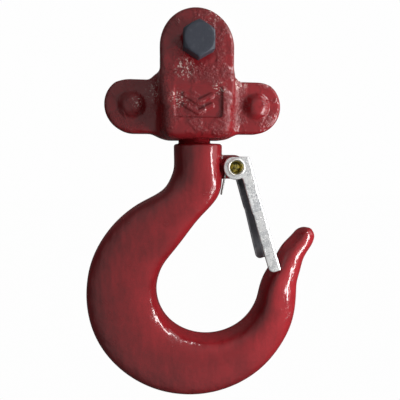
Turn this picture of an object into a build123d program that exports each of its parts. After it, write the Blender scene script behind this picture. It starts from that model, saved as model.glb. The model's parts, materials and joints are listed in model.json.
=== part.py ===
"""Bottom hook block of a one-tonne chain hoist: a two-part forged yoke, riveted together, which
carries the last link of the load chain on a cross bolt and a swivelling safety hook on a thrust
bearing inside.

Units are millimetres. +Z points up the load line and +X points towards the hook's tip. The origin
is the middle of the chain bolt, on the axis that the hook swivels about. The bolt's head faces -Y.
"""
from build123d import *
from math import atan2, cos, degrees, pi, radians, sin, sqrt, tan
import os

# ---- chain bolt ---------------------------------------------------------------------------------
BOLT_D = 8.0
BOLT_HEAD_ACROSS = 12.0
BOLT_HEAD_HEIGHT = 5.6
BOLT_FIT = 0.1              # radial clearance of the bolt in the yoke
BOLT_END = 1.6              # how far the bolt stands past its nut
NUT_ACROSS = 13.0
NUT_HEIGHT = 8.0
NUT_SLOT_DEPTH = 3.0
WASHER_D = 16.0
WASHER_THICK = 1.6
BOLT_CHAMFER = 0.8
COTTER_D = 1.8
COTTER_FIT = 0.2            # radial clearance of the split pin in the nut's slots
COTTER_REACH = 0.6          # how far the split pin's shank stands out of the nut
COTTER_LEG = 4.7
COTTER_SPREAD = 62.0        # degrees that each leg is bent out
COTTER_EYE_R = 1.7
COTTER_EYE_WIRE_R = 0.75

# ---- load chain, which is not part of this object, and the room it needs ---------------------
CHAIN_WIRE = 6.3
CHAIN_PITCH = 19.0
CHAIN_LINK_WIDTH = 21.0
CHAIN_SIDE_ROOM = 0.85      # on each side of the link that sits on the bolt
CHAIN_END_ROOM = 2.2        # under the link that sits on the bolt
CHAIN_CROSS_ROOM = 0.7      # round the next link, which lies across

# ---- yoke ---------------------------------------------------------------------------------------
LOBE_R = 14.9
LOBE_DROP = 1.4             # centre of the lobe's round top, below the bolt
LOBE_HALF_DEPTH = 15.0
BOX_WALL = 3.75             # in front of the bearing
BOX_FACE_MARGIN = 0.75      # the front face's half width beyond the bearing's housing
BOX_ABOVE_SLOT = 1.5        # top of the box above the chain slot's floor
BOX_DRAFT = 9.0             # degrees, on the box's sides
BOX_RAMP = 20.0             # degrees, from the cheek's face down to the box's
BOX_CORNER = 3.1            # rounding of the box's upright edges
BOX_LIP = 1.8               # rounding along the box's lower front edge
EAR_THICK = 5.0
EAR_R = 11.6
EAR_ROOT_BELOW_TOP = 0.8    # how far the ears' root starts above the box's top
EAR_ROOT_ABOVE_BOTTOM = 1.6
FORGING_EDGE = 2.2          # rounding of the forged edges
FLOOR_THICK = 4.2           # under the bearing
PLAQUE_WIDTH = 19.0
PLAQUE_HEIGHT = 12.0
PLAQUE_DEPTH = 0.7
PLAQUE_CORNER = 1.0
CHEVRON_WIDTH = 12.0
CHEVRON_DROP = 3.2          # from a chevron's ends down to its point
CHEVRON_ARM = 1.8           # height of its arms
CHEVRON_RISE = 0.5          # above the plaque's floor
CHEVRON_FEET = (-5.0, -1.1)     # heights of the two points, from the middle of the plaque
RIVET_X = 27.0
RIVET_D = 6.0
RIVET_HEAD_D = 10.8
RIVET_HEAD_HEIGHT = 3.2

# ---- thrust bearing -----------------------------------------------------------------------------
SHANK_D = 12.0
BEARING_HEIGHT = 9.0
RACE_THICK = 2.9
BALL_D = 4.8
BALL_GAP = 1.0              # at least this between two balls
RACE_MARGIN = 1.1           # of each race beyond the balls, on both sides
BALL_ROOM = 0.06            # between a ball and what it rolls on
CAGE_THICK = 1.6
CAGE_MARGIN = 0.8           # the cage's rims inside the races' edges
RACE_ROOM = 0.25            # round the races and the shank

# ---- hook nut -----------------------------------------------------------------------------------
HOOK_NUT_ACROSS = 18.0
HOOK_NUT_HEIGHT = 10.0
HOOK_NUT_PIN_D = 3.0
HOOK_NUT_PIN_INSET = 0.2    # of its ends in the nut's flats
HOOK_NUT_PIN_SLIT = 0.6
SHANK_END = 0.4             # how far the shank stands past its nut
HOUSING_ROOM = 0.7          # between the end of the shank and the chain slot's floor

# ---- hook ---------------------------------------------------------------------------------------
JOURNAL_D = 14.4
JOURNAL_ROOM = 0.35
SHOULDER_GAP = 1.9          # between the yoke's underside and the hook's shoulder
NECK_D = 21.8
NECK_X = 1.6                # the neck is heavier on the latch's side
BOWL_R = 25.4
BOWL_X = 7.2
BOWL_DROP = 42.7            # from the shoulder to the top of the bowl's circle
HOOK_THICK = 20.0
TIP_THICK = 12.5
SECTION_POINTS = 20
NECK_DROPS = (0.0, 4.5, 9.0)    # of the neck's circles below the shoulder
ROUND = 1.0                 # the power of a circle's section
FIRST_SQUARENESS = 0.85     # the power of the first section below the neck
SQUARENESS = 0.75           # and of all the others
OUTER_TAPER = 0.08          # how much narrower a squared section is on its outer side

# One row for each section of the forging below the neck: where its inner point lies, as an angle
# round the bowl and a gap beyond the bowl's radius, which way it points outwards, its depth, and
# how much of the hook's thickness it has (0 at the tip's thickness, 1 at the full thickness).
HOOK_SECTIONS = (
    (84.4, 21.5, 162.0, 23.4, 1.00),
    (96.9, 10.2, 141.0, 21.1, 1.00),
    (119.1, 2.0, 125.0, 24.6, 1.00),
    (138.0, 0.0, 124.5, 28.0, 1.00),
    (149.0, 0.0, 133.5, 29.3, 1.00),
    (159.0, 0.0, 145.0, 30.4, 1.00),
    (171.0, 0.0, 160.0, 31.6, 1.00),
    (186.0, 0.0, 180.0, 32.4, 1.00),
    (203.0, 0.0, 201.0, 32.9, 1.00),
    (222.0, 0.0, 222.0, 32.4, 1.00),
    (243.0, 0.0, 243.0, 31.3, 1.00),
    (263.0, 0.2, 263.0, 29.4, 1.00),
    (283.0, 0.6, 283.0, 26.8, 0.98),
    (302.0, 1.0, 302.0, 24.0, 0.92),
    (321.0, 1.0, 321.0, 21.4, 0.82),
    (340.0, 0.6, 337.0, 19.8, 0.68),
    (358.0, 0.9, 350.0, 17.8, 0.52),
    (369.0, 3.4, 346.0, 16.0, 0.38),
    (379.0, 9.2, 340.0, 13.4, 0.22),
    (387.0, 16.2, 334.0, 11.4, 0.06),
    (390.1, 23.3, 330.0, 9.9, -0.12),
    (391.2, 26.6, 325.0, 8.8, -0.29),
    (390.9, 28.9, 325.0, 6.6, -0.64),
    (390.1, 30.4, 325.0, 3.9, -1.06),
    (389.4, 31.2, 325.0, 2.0, -1.36),
)

# ---- latch, its rivet and its spring ---------------------------------------------------------
LUG_REACH = 5.2             # from the neck to the latch's pivot
PIVOT_DROP = 10.3           # from the shoulder to the latch's pivot
LUG_THICK = 7.4
LUG_R = 5.4
SEAT_ANGLE = 18.8           # where the closed latch's end meets the tip, round the bowl
SEAT_GAP = 8.4              # beyond the bowl's radius
LATCH_SHEET = 1.5
LATCH_PIVOT_WIDTH = 16.0
LATCH_TIP_WIDTH = 22.0
LATCH_CREASE = 22.0         # from the pivot to where the flanges start to flare
LATCH_WEB = 7.3             # from the pivot to the web's outer face
LATCH_BEND = 2.0            # outer radius of the bends between web and flanges
LATCH_EYE_R = 5.5           # of the ears round the rivet
LATCH_TOP = 4.6             # from the pivot up to the ears' level top edge
LATCH_FLANGE = 5.8          # depth of the flanges at the free end
LATCH_CORNER = 2.6          # rounding of the flanges' corners there
LATCH_RIVET_D = 6.0
LATCH_RIVET_BORE = 4.8
LATCH_RIVET_BORE_DEPTH = 4.6
LATCH_RIVET_HEAD_D = 7.8
LATCH_RIVET_HEAD_THICK = 0.8
LATCH_RIVET_ROLL = 0.72     # rounding of the rolled rims
LATCH_RIVET_FIT = 0.08      # radial clearance in the hook's lug
SPRING_WIRE = 0.9
SPRING_TURNS = 1.5
SPRING_ROOM = 0.25          # inside the coils and beside them
SPRING_PITCH = 1.08         # from turn to turn, in wire diameters
SPRING_BAR = 0.96           # the straight bars' diameter, in wire diameters
SPRING_LEG_LAP = 0.08       # how far the free leg's end lies behind the neck's inner edge
SPRING_LEG_DROP = 12.5      # of that end below the pivot
SPRING_BRIDGE_DROP = 10.5           # the bar under the web, below the pivot

# ---- worked out from the above ---------------------------------------------------------------
SLOT_HALF = CHAIN_WIRE / 2 + CHAIN_SIDE_ROOM
SLOT_FLOOR = -(BOLT_D / 2 + CHAIN_WIRE + CHAIN_END_ROOM)
CROSS_BOTTOM = CHAIN_PITCH - BOLT_D / 2 - CHAIN_WIRE - CHAIN_CROSS_ROOM
LOBE_TOP = LOBE_R - LOBE_DROP
SHANK_TOP = SLOT_FLOOR - HOUSING_ROOM
HOOK_NUT_TOP = SHANK_TOP - SHANK_END
BEARING_TOP = HOOK_NUT_TOP - HOOK_NUT_HEIGHT
FLOOR_TOP = BEARING_TOP - BEARING_HEIGHT
BOX_BOTTOM = FLOOR_TOP - FLOOR_THICK
BOX_TOP = SLOT_FLOOR + BOX_ABOVE_SLOT
BEARING_D = SHANK_D + 2 * (BALL_D + 2 * RACE_MARGIN)
HOUSING_R = BEARING_D / 2 + RACE_ROOM
BOX_HALF_DEPTH = HOUSING_R + BOX_WALL
BOX_HALF_WIDTH = HOUSING_R + BOX_FACE_MARGIN
BOX_ROOT_HALF_WIDTH = BOX_HALF_WIDTH + BOX_HALF_DEPTH * tan(radians(BOX_DRAFT))
EAR_ROOT_TOP = BOX_TOP + EAR_ROOT_BELOW_TOP
EAR_ROOT_BOTTOM = BOX_BOTTOM + EAR_ROOT_ABOVE_BOTTOM
EAR_Z = (EAR_ROOT_TOP + EAR_ROOT_BOTTOM) / 2
BALL_Z = FLOOR_TOP + BEARING_HEIGHT / 2
BALL_CIRCLE_R = (BEARING_D + SHANK_D) / 4
BALL_COUNT = int(2 * pi * BALL_CIRCLE_R / (BALL_D + BALL_GAP))
HOOK_PIN_Z = BEARING_TOP + HOOK_NUT_HEIGHT / 2
SHOULDER_Z = BOX_BOTTOM - SHOULDER_GAP
BOWL_Z = SHOULDER_Z - BOWL_DROP - BOWL_R
PIVOT_X = NECK_X + NECK_D / 2 + LUG_REACH
PIVOT_Z = SHOULDER_Z - PIVOT_DROP
NECK_EDGE_X = BOWL_X + (BOWL_R + HOOK_SECTIONS[0][1]) * cos(radians(HOOK_SECTIONS[0][0]))
SPRING_FREE_END = (NECK_EDGE_X - SPRING_LEG_LAP - PIVOT_X, -SPRING_LEG_DROP)
SEAT_X = BOWL_X + (BOWL_R + SEAT_GAP) * cos(radians(SEAT_ANGLE)) - PIVOT_X
SEAT_DROP = PIVOT_Z - BOWL_Z - (BOWL_R + SEAT_GAP) * sin(radians(SEAT_ANGLE))
LATCH_LENGTH = sqrt(SEAT_X ** 2 + SEAT_DROP ** 2 - LATCH_WEB ** 2)
LATCH_TILT = degrees(atan2(SEAT_X, SEAT_DROP) - atan2(LATCH_WEB, LATCH_LENGTH))
BOLT_NUT_Y = LOBE_HALF_DEPTH + WASHER_THICK
BOLT_TIP_Y = BOLT_NUT_Y + NUT_HEIGHT + BOLT_END
COTTER_Y = BOLT_NUT_Y + NUT_HEIGHT - NUT_SLOT_DEPTH / 2

BASE = (Align.CENTER, Align.CENTER, Align.MIN)
HEX_CHAMFER = 30.0          # degrees, on every hexagon
HEX_FACE = 0.96             # a hexagon's end face, in widths across its flats
CUT = 1.0                   # how far a cutting shape runs past what it cuts
TOUCH = 0.01                # closer than this is the same place


# ---- helpers --------------------------------------------------------------------------------------
def rod_x(radius, low, high, y=0.0, z=0.0):
    """A cylinder along X from low to high."""
    return Pos(low, y, z) * Rot(0, 90, 0) * Cylinder(radius, high - low, align=BASE)


def rod_y(radius, low, high, x=0.0, z=0.0):
    """A cylinder along Y from low to high."""
    return Pos(x, low, z) * Rot(-90, 0, 0) * Cylinder(radius, high - low, align=BASE)


def rod_z(radius, low, high, x=0.0, y=0.0):
    """A cylinder along Z from low to high."""
    return Pos(x, y, low) * Cylinder(radius, high - low, align=BASE)


def hexagon(across, height):
    """A hexagon bar on the XY plane, flats left and right, its far end chamfered."""
    end_radius = HEX_FACE * across / 2
    root_radius = end_radius + height / tan(radians(HEX_CHAMFER))
    bar = extrude(RegularPolygon(across / 2, 6, major_radius=False, rotation=30), height)
    return bar & Cone(root_radius, end_radius, height, align=BASE)


def along_y(shape, y):
    """Stands a shape that was built up from the XY plane on the plane at y, pointing to +Y."""
    return Pos(0, y, 0) * Rot(-90, 0, 0) * shape


def mirrored_back(shape):
    """The same shape on the other side of the yoke's parting plane."""
    return mirror(shape, Plane.XZ)


def write(shape, node):
    """Writes one named piece."""
    export_step(shape, "parts/" + node + ".step")


# ---- yoke -----------------------------------------------------------------------------------------
def ear_plate():
    """The flat pair of ears: a hull round the two rivet bosses and the root under the box."""
    root = Pos(0, EAR_Z) * Rectangle(2 * BOX_ROOT_HALF_WIDTH, EAR_ROOT_TOP - EAR_ROOT_BOTTOM)
    ends = [Pos(side * RIVET_X, EAR_Z) * Circle(EAR_R) for side in (-1, 1)]
    outline = make_hull(root.edges() + ends[0].edges() + ends[1].edges())
    plate = extrude(Plane.XZ * outline, EAR_THICK)
    return fillet(plate.faces().sort_by(Axis.Y)[0].edges(), FORGING_EDGE)


def cheek():
    """The round-topped cheek that holds the bolt, down to behind the box."""
    height = -LOBE_DROP - BOX_TOP + EAR_R
    outline = Pos(0, -LOBE_DROP) * Circle(LOBE_R)
    outline += Pos(0, -LOBE_DROP - height / 2) * Rectangle(2 * LOBE_R, height)
    plate = extrude(Plane.XZ * outline, LOBE_HALF_DEPTH)
    return fillet(plate.faces().sort_by(Axis.Y)[0].edges(), FORGING_EDGE)


def bearing_box():
    """The box round the bearing: drafted sides, and a front that ramps up to the cheek's face."""
    corners = [(-BOX_ROOT_HALF_WIDTH, 0), (-BOX_HALF_WIDTH, -BOX_HALF_DEPTH)]
    corners += [(BOX_HALF_WIDTH, -BOX_HALF_DEPTH), (BOX_ROOT_HALF_WIDTH, 0)]
    outline = Pos(0, 0, BOX_BOTTOM) * make_face(Polyline(*corners, close=True))
    box = extrude(outline, BOX_TOP - BOX_BOTTOM)
    upright = box.edges().filter_by(Axis.Z).sort_by(Axis.Y)[:2]
    box = fillet(upright, BOX_CORNER)
    box = fillet(box.faces().sort_by(Axis.Y)[0].edges().filter_by(Axis.X).sort_by(Axis.Z)[0], BOX_LIP)
    proud = BOX_HALF_DEPTH - LOBE_HALF_DEPTH
    ramp_foot = BOX_TOP - proud / tan(radians(BOX_RAMP))
    wedge = [(-LOBE_HALF_DEPTH, BOX_TOP), (-BOX_HALF_DEPTH, ramp_foot), (-BOX_HALF_DEPTH, BOX_TOP)]
    return box - extrude(Plane.YZ * make_face(Polyline(*wedge, close=True)), 2 * LOBE_R, both=True)


def yoke_hollows():
    """Everything that is cut out of both halves."""
    housing = rod_z(HOUSING_R, FLOOR_TOP, SLOT_FLOOR)
    journal = rod_z(JOURNAL_D / 2 + JOURNAL_ROOM, BOX_BOTTOM - CUT, FLOOR_TOP + CUT)
    slot_height = LOBE_TOP - SLOT_FLOOR + CUT
    slot = Pos(0, 0, SLOT_FLOOR) * Box(3 * LOBE_R, 2 * SLOT_HALF, slot_height, align=BASE)
    cross_height = LOBE_TOP - CROSS_BOTTOM + CUT
    cross_width = CHAIN_WIRE + 2 * CHAIN_CROSS_ROOM
    cross_depth = CHAIN_LINK_WIDTH + 2 * CHAIN_CROSS_ROOM
    cross = Pos(0, 0, CROSS_BOTTOM) * Box(cross_width, cross_depth, cross_height, align=BASE)
    bolt = rod_y(BOLT_D / 2 + BOLT_FIT, -BOX_HALF_DEPTH - CUT, BOX_HALF_DEPTH + CUT)
    hollows = housing + journal + slot + cross + bolt
    for side in (-1, 1):
        hollows += rod_y(RIVET_D / 2, -EAR_THICK - CUT, EAR_THICK + CUT, side * RIVET_X, EAR_Z)
    return hollows


def chevron(z):
    """A raised V on the plaque that points down the load line."""
    half = CHEVRON_WIDTH / 2
    corners = [(-half, CHEVRON_DROP), (0, 0), (half, CHEVRON_DROP), (half, CHEVRON_DROP + CHEVRON_ARM)]
    corners += [(0, CHEVRON_ARM), (-half, CHEVRON_DROP + CHEVRON_ARM)]
    outline = Pos(0, z) * make_face(Polyline(*corners, close=True))
    sunk_face = BOX_HALF_DEPTH - PLAQUE_DEPTH
    return extrude(Plane.XZ.offset(sunk_face - CHEVRON_RISE) * outline, 2 * CHEVRON_RISE)


def yoke_back():
    """The back half: ears, cheek and box, forged in one."""
    half = ear_plate() + cheek() + bearing_box() - yoke_hollows()
    return mirrored_back(half)


def yoke_front():
    """The front half, which also has the sunk plaque with its two load-direction chevrons."""
    half = mirrored_back(yoke_back())
    plaque = Pos(0, EAR_Z) * RectangleRounded(PLAQUE_WIDTH, PLAQUE_HEIGHT, PLAQUE_CORNER)
    half -= extrude(Plane.XZ.offset(BOX_HALF_DEPTH - PLAQUE_DEPTH) * plaque, PLAQUE_DEPTH + CUT)
    for foot in CHEVRON_FEET:
        half += chevron(EAR_Z + foot)
    return half


def yoke_rivet(side):
    """A rivet with a domed head at each end, through both ears."""
    dome_r = (RIVET_HEAD_D ** 2 / 4 + RIVET_HEAD_HEIGHT ** 2) / (2 * RIVET_HEAD_HEIGHT)
    ball = Pos(0, 0, RIVET_HEAD_HEIGHT - dome_r) * Sphere(dome_r)
    head = ball & Cylinder(dome_r, RIVET_HEAD_HEIGHT, align=BASE)
    rivet = rod_y(RIVET_D / 2, -EAR_THICK, EAR_THICK) + along_y(head, EAR_THICK)
    rivet += mirrored_back(along_y(head, EAR_THICK))
    return Pos(side * RIVET_X, 0, EAR_Z) * rivet


# ---- chain bolt -----------------------------------------------------------------------------------
def chain_bolt():
    """The hexagon-headed cross bolt, with a plain shank and a cotter hole near its end."""
    head = mirrored_back(along_y(hexagon(BOLT_HEAD_ACROSS, BOLT_HEAD_HEIGHT), LOBE_HALF_DEPTH))
    shank = rod_y(BOLT_D / 2, -LOBE_HALF_DEPTH, BOLT_TIP_Y)
    shank = chamfer(shank.edges().sort_by(Axis.Y)[-1], BOLT_CHAMFER)
    return head + shank - rod_x(COTTER_D / 2, -BOLT_D, BOLT_D, COTTER_Y)


def chain_bolt_washer():
    """The plain washer under the nut."""
    return rod_y(WASHER_D / 2, LOBE_HALF_DEPTH, BOLT_NUT_Y) - rod_y(
        BOLT_D / 2 + BOLT_FIT, LOBE_HALF_DEPTH, BOLT_NUT_Y)


def chain_bolt_nut():
    """The slotted nut on the back of the yoke."""
    nut = along_y(hexagon(NUT_ACROSS, NUT_HEIGHT), BOLT_NUT_Y)
    nut -= rod_y(BOLT_D / 2, BOLT_NUT_Y, BOLT_NUT_Y + NUT_HEIGHT)
    for turn in (0, 60, 120):
        slot = Box(2 * NUT_ACROSS, NUT_SLOT_DEPTH, COTTER_D + 2 * COTTER_FIT)
        nut -= Rot(0, turn, 0) * Pos(0, COTTER_Y, 0) * slot
    return nut


def chain_bolt_cotter():
    """The split pin: an eye on one side of the nut and two legs bent apart on the other."""
    reach = NUT_ACROSS / 2 + COTTER_REACH
    eye_x = -reach - COTTER_EYE_R - COTTER_EYE_WIRE_R + COTTER_REACH / 2
    pin = rod_x(COTTER_D / 2 - BOLT_FIT / 2, -reach, reach, COTTER_Y)
    pin += Pos(eye_x, COTTER_Y, 0) * Torus(COTTER_EYE_R, COTTER_EYE_WIRE_R)
    for side in (-1, 1):
        leg = Cylinder(COTTER_D / 4, COTTER_LEG, align=BASE)
        pin += Pos(reach - COTTER_D / 8, COTTER_Y, 0) * Rot(0, 90 + side * COTTER_SPREAD, 0) * leg
    return pin


# ---- thrust bearing -------------------------------------------------------------------------------
def race(low, bore, groove_z):
    """One grooved washer of the bearing."""
    washer = rod_z(BEARING_D / 2, low, low + RACE_THICK) - rod_z(bore / 2, low, low + RACE_THICK)
    return washer - Pos(0, 0, groove_z) * Torus(BALL_CIRCLE_R, BALL_D / 2 + BALL_ROOM)


def bearing_lower_race():
    """The washer that stands on the yoke's floor."""
    return race(FLOOR_TOP, SHANK_D + 2 * RACE_ROOM, BALL_Z)


def bearing_upper_race():
    """The washer that turns with the hook."""
    return race(BEARING_TOP - RACE_THICK, SHANK_D, BALL_Z)


def bearing_balls():
    """The ring of balls."""
    ring = [Rot(0, 0, 360 / BALL_COUNT * i) * Pos(BALL_CIRCLE_R, 0, BALL_Z) * Sphere(BALL_D / 2)
            for i in range(BALL_COUNT)]
    return Compound(children=ring)


def bearing_cage():
    """The flat ring that keeps the balls apart."""
    low = BALL_Z - CAGE_THICK / 2
    high = BALL_Z + CAGE_THICK / 2
    cage = rod_z(BEARING_D / 2 - CAGE_MARGIN, low, high)
    cage -= rod_z(SHANK_D / 2 + CAGE_MARGIN, low, high)
    for i in range(BALL_COUNT):
        cage -= Rot(0, 0, 360 / BALL_COUNT * i) * Pos(BALL_CIRCLE_R, 0, BALL_Z) * Sphere(BALL_D / 2)
    return cage


# ---- hook -----------------------------------------------------------------------------------------
def hook_section(inner, outward, depth, thickness, squareness):
    """One closed section of the forging, in the plane of its outward direction and Y.

    The section is a superellipse: the cosine and sine of the angle round it are raised to a
    power under one, which squares it, and it narrows a little towards the outside.
    """
    points = []
    taper = OUTER_TAPER * (1 - squareness) / (1 - SQUARENESS)
    for i in range(SECTION_POINTS):
        turn = 2 * pi * i / SECTION_POINTS
        across = abs(cos(turn)) ** squareness * (1 if cos(turn) > 0 else -1)
        sideways = abs(sin(turn)) ** squareness * (1 if sin(turn) > 0 else -1)
        reach = depth / 2 * (1 + across)
        half = thickness / 2 * (1 - taper * (across + 1))
        x = inner[0] + reach * cos(outward)
        z = inner[1] + reach * sin(outward)
        points.append((x, half * sideways, z))
    return Wire([Spline(*points, periodic=True)])


def hook_forging():
    """The forging below the shoulder, lofted through the neck's circles and the table's rows."""
    neck_inner = NECK_X + NECK_D / 2
    sections = []
    for drop in NECK_DROPS:
        sections.append(hook_section((neck_inner, SHOULDER_Z - drop), pi, NECK_D, NECK_D, ROUND))
    for angle, gap, outward, depth, share in HOOK_SECTIONS:
        reach = BOWL_R + gap
        inner = (BOWL_X + reach * cos(radians(angle)), BOWL_Z + reach * sin(radians(angle)))
        thickness = TIP_THICK + (HOOK_THICK - TIP_THICK) * share
        squareness = FIRST_SQUARENESS if len(sections) == len(NECK_DROPS) else SQUARENESS
        sections.append(hook_section(inner, radians(outward), depth, thickness, squareness))
    return Solid.make_loft(sections)


def latch_lug():
    """The lug on the throat side of the neck, with the hole for the latch's rivet."""
    root = Box(PIVOT_X - NECK_X, LUG_THICK, 2 * LUG_R)
    lug = Pos((PIVOT_X + NECK_X) / 2, 0, PIVOT_Z) * root
    return lug + rod_y(LUG_R, -LUG_THICK / 2, LUG_THICK / 2, PIVOT_X, PIVOT_Z)


def hook():
    """The whole forging: shank, journal, neck, body and latch lug."""
    body = Part() + hook_forging() + latch_lug()
    body += rod_z(JOURNAL_D / 2, SHOULDER_Z, FLOOR_TOP - JOURNAL_ROOM)
    body += rod_z(SHANK_D / 2, SHOULDER_Z, SHANK_TOP)
    hole = LATCH_RIVET_D / 2 + LATCH_RIVET_FIT
    body -= rod_y(hole, -LUG_THICK, LUG_THICK, PIVOT_X, PIVOT_Z)
    return body - rod_x(HOOK_NUT_PIN_D / 2, -SHANK_D, SHANK_D, 0, HOOK_PIN_Z)


def hook_nut():
    """The hexagon nut that hangs the hook on the bearing."""
    nut = Pos(0, 0, BEARING_TOP) * hexagon(HOOK_NUT_ACROSS, HOOK_NUT_HEIGHT)
    nut -= rod_z(SHANK_D / 2, BEARING_TOP, HOOK_NUT_TOP)
    return nut - rod_x(HOOK_NUT_PIN_D / 2, -HOOK_NUT_ACROSS, HOOK_NUT_ACROSS, 0, HOOK_PIN_Z)


def hook_nut_pin():
    """The spring pin that locks the nut to the shank."""
    half = HOOK_NUT_ACROSS / 2 - HOOK_NUT_PIN_INSET
    tube = rod_x(HOOK_NUT_PIN_D / 2, -half, half, 0, HOOK_PIN_Z)
    tube -= rod_x(HOOK_NUT_PIN_D / 4, -half, half, 0, HOOK_PIN_Z)
    slit = Box(2 * half, HOOK_NUT_PIN_SLIT, HOOK_NUT_PIN_D)
    return tube - Pos(0, 0, HOOK_PIN_Z + HOOK_NUT_PIN_D / 2) * slit


# ---- latch ----------------------------------------------------------------------------------------
def latch_outline():
    """The latch seen from the side, its pivot at the origin, hanging straight down.

    An arm runs from the eye round the pivot to the free end, whose inner corner is rounded.
    """
    end = -LATCH_LENGTH
    flange = LATCH_WEB - LATCH_FLANGE
    corners = [(0, LATCH_EYE_R), (LATCH_WEB, LATCH_EYE_R), (LATCH_WEB, end), (flange, end)]
    corners += [(flange, 0.9 * end), (1.8, 0.46 * end), (-0.4, -7.0), (-0.7 * LATCH_EYE_R, -2.0)]
    arm = make_face(Polyline(*corners, close=True))
    inner_end = arm.vertices().sort_by(Axis.Y)[:2].sort_by(Axis.X)[0]
    return fillet(inner_end, LATCH_CORNER) + Circle(LATCH_EYE_R)


def latch_plan(inset):
    """The latch seen along X: straight at the pivot, then flared out to the free end."""
    top = LATCH_PIVOT_WIDTH / 2 - inset
    tip = LATCH_TIP_WIDTH / 2 - inset
    flare = (LATCH_TIP_WIDTH - LATCH_PIVOT_WIDTH) / 2 / (LATCH_LENGTH - LATCH_CREASE)
    past = CUT if inset else 0.0
    right = [(top, LATCH_EYE_R + CUT), (top, -LATCH_CREASE)]
    right.append((tip + past * flare, -LATCH_LENGTH - past))
    left = [(-y, z) for y, z in reversed(right)]
    return extrude(Plane.YZ * make_face(Polyline(*right, *left, close=True)), 3 * LATCH_WEB, both=True)


def latch():
    """The pressed latch: a channel whose web faces out of the throat."""
    body = extrude(Plane.XZ * latch_outline(), LATCH_TIP_WIDTH, both=True) & latch_plan(0.0)
    beside_web = LATCH_PIVOT_WIDTH / 2 - TOUCH
    bends = body.edges().filter_by(lambda e: abs(e.center().X - LATCH_WEB) < TOUCH
                                   and abs(e.center().Y) > beside_web)
    body = fillet(bends, LATCH_BEND)
    inside = Pos(LATCH_WEB - LATCH_SHEET - LATCH_LENGTH, 0, 0) * Box(
        2 * LATCH_LENGTH, 2 * LATCH_TIP_WIDTH, 4 * LATCH_LENGTH)
    body -= latch_plan(LATCH_SHEET) & inside
    body -= rod_y(LATCH_RIVET_D / 2, -LATCH_TIP_WIDTH, LATCH_TIP_WIDTH)
    above = Pos(PIVOT_X, 0, PIVOT_Z + LATCH_TOP) * Box(
        3 * LATCH_WEB, 2 * LATCH_TIP_WIDTH, 2 * LATCH_WEB, align=BASE)
    return at_pivot(body) - above


def at_pivot(shape):
    """Puts a shape that was built round the pivot, hanging straight down, in its closed place."""
    return Pos(PIVOT_X, 0, PIVOT_Z) * Rot(0, -LATCH_TILT, 0) * shape


def latch_rivet():
    """The rivet that the latch turns on: drilled at both ends, its rims rolled over the ears."""
    half = LATCH_PIVOT_WIDTH / 2
    rivet = rod_y(LATCH_RIVET_D / 2, -half, half)
    for side in (-1, 1):
        rim = rod_y(LATCH_RIVET_HEAD_D / 2, 0, LATCH_RIVET_HEAD_THICK)
        rim = Pos(0, half, 0) * fillet(rim.edges().sort_by(Axis.Y)[-1], LATCH_RIVET_ROLL)
        rim_end = half + LATCH_RIVET_HEAD_THICK
        bore = rod_y(LATCH_RIVET_BORE / 2, rim_end - LATCH_RIVET_BORE_DEPTH, rim_end)
        rivet += rim if side > 0 else mirrored_back(rim)
        rivet -= bore if side > 0 else mirrored_back(bore)
    return Pos(PIVOT_X, 0, PIVOT_Z) * rivet


def wire_bar(start, end):
    """A straight piece of spring wire with rounded ends, a hair thinner than the coils."""
    start, end = Vector(*start), Vector(*end)
    radius = SPRING_BAR * SPRING_WIRE / 2
    bar = Plane(origin=start, z_dir=end - start) * Cylinder(radius, (end - start).length, align=BASE)
    return bar + Pos(start) * Sphere(radius) + Pos(end) * Sphere(radius)


def spring_side():
    """One coil, from its free leg on the neck to half of the bar under the latch's web."""
    coil_r = LATCH_RIVET_D / 2 + SPRING_ROOM + SPRING_WIRE / 2
    inner_y = LUG_THICK / 2 + SPRING_ROOM + SPRING_WIRE / 2
    pitch = SPRING_PITCH * SPRING_WIRE
    outer_y = inner_y + pitch * SPRING_TURNS
    plane = Plane(origin=(0, inner_y, 0), x_dir=(-1, 0, 0), z_dir=(0, 1, 0))
    path = plane * Helix(pitch, pitch * SPRING_TURNS, coil_r)
    side = sweep(Plane(origin=path @ 0, z_dir=path % 0) * Circle(SPRING_WIRE / 2), path)
    lean = radians(LATCH_TILT)
    under_web = LATCH_WEB - LATCH_SHEET - SPRING_WIRE / 2 - SPRING_ROOM
    bridge_x = under_web * cos(lean) + SPRING_BRIDGE_DROP * sin(lean)
    bridge_z = under_web * sin(lean) - SPRING_BRIDGE_DROP * cos(lean)
    free_x, free_z = SPRING_FREE_END
    side += wire_bar((-coil_r, inner_y, 0), (free_x, inner_y, free_z))
    side += wire_bar((coil_r, outer_y, 0), (bridge_x, outer_y, bridge_z))
    return side + wire_bar((bridge_x, outer_y, bridge_z), (bridge_x, 0, bridge_z))


def latch_spring():
    """The double torsion spring round the rivet."""
    side = spring_side()
    return Pos(PIVOT_X, 0, PIVOT_Z) * (side + mirrored_back(side))


PIECES = {
    "yoke_front": yoke_front,
    "yoke_back": yoke_back,
    "yoke_rivet_left": lambda: yoke_rivet(-1),
    "yoke_rivet_right": lambda: yoke_rivet(1),
    "chain_bolt": chain_bolt,
    "chain_bolt_washer": chain_bolt_washer,
    "chain_bolt_nut": chain_bolt_nut,
    "chain_bolt_cotter": chain_bolt_cotter,
    "bearing_lower_race": bearing_lower_race,
    "bearing_upper_race": bearing_upper_race,
    "bearing_balls": bearing_balls,
    "bearing_cage": bearing_cage,
    "hook": hook,
    "hook_nut": hook_nut,
    "hook_nut_pin": hook_nut_pin,
    "latch": latch,
    "latch_rivet": latch_rivet,
    "latch_spring": latch_spring,
}

os.makedirs("parts", exist_ok=True)
for node, make in PIECES.items():
    write(make(), node)
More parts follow.
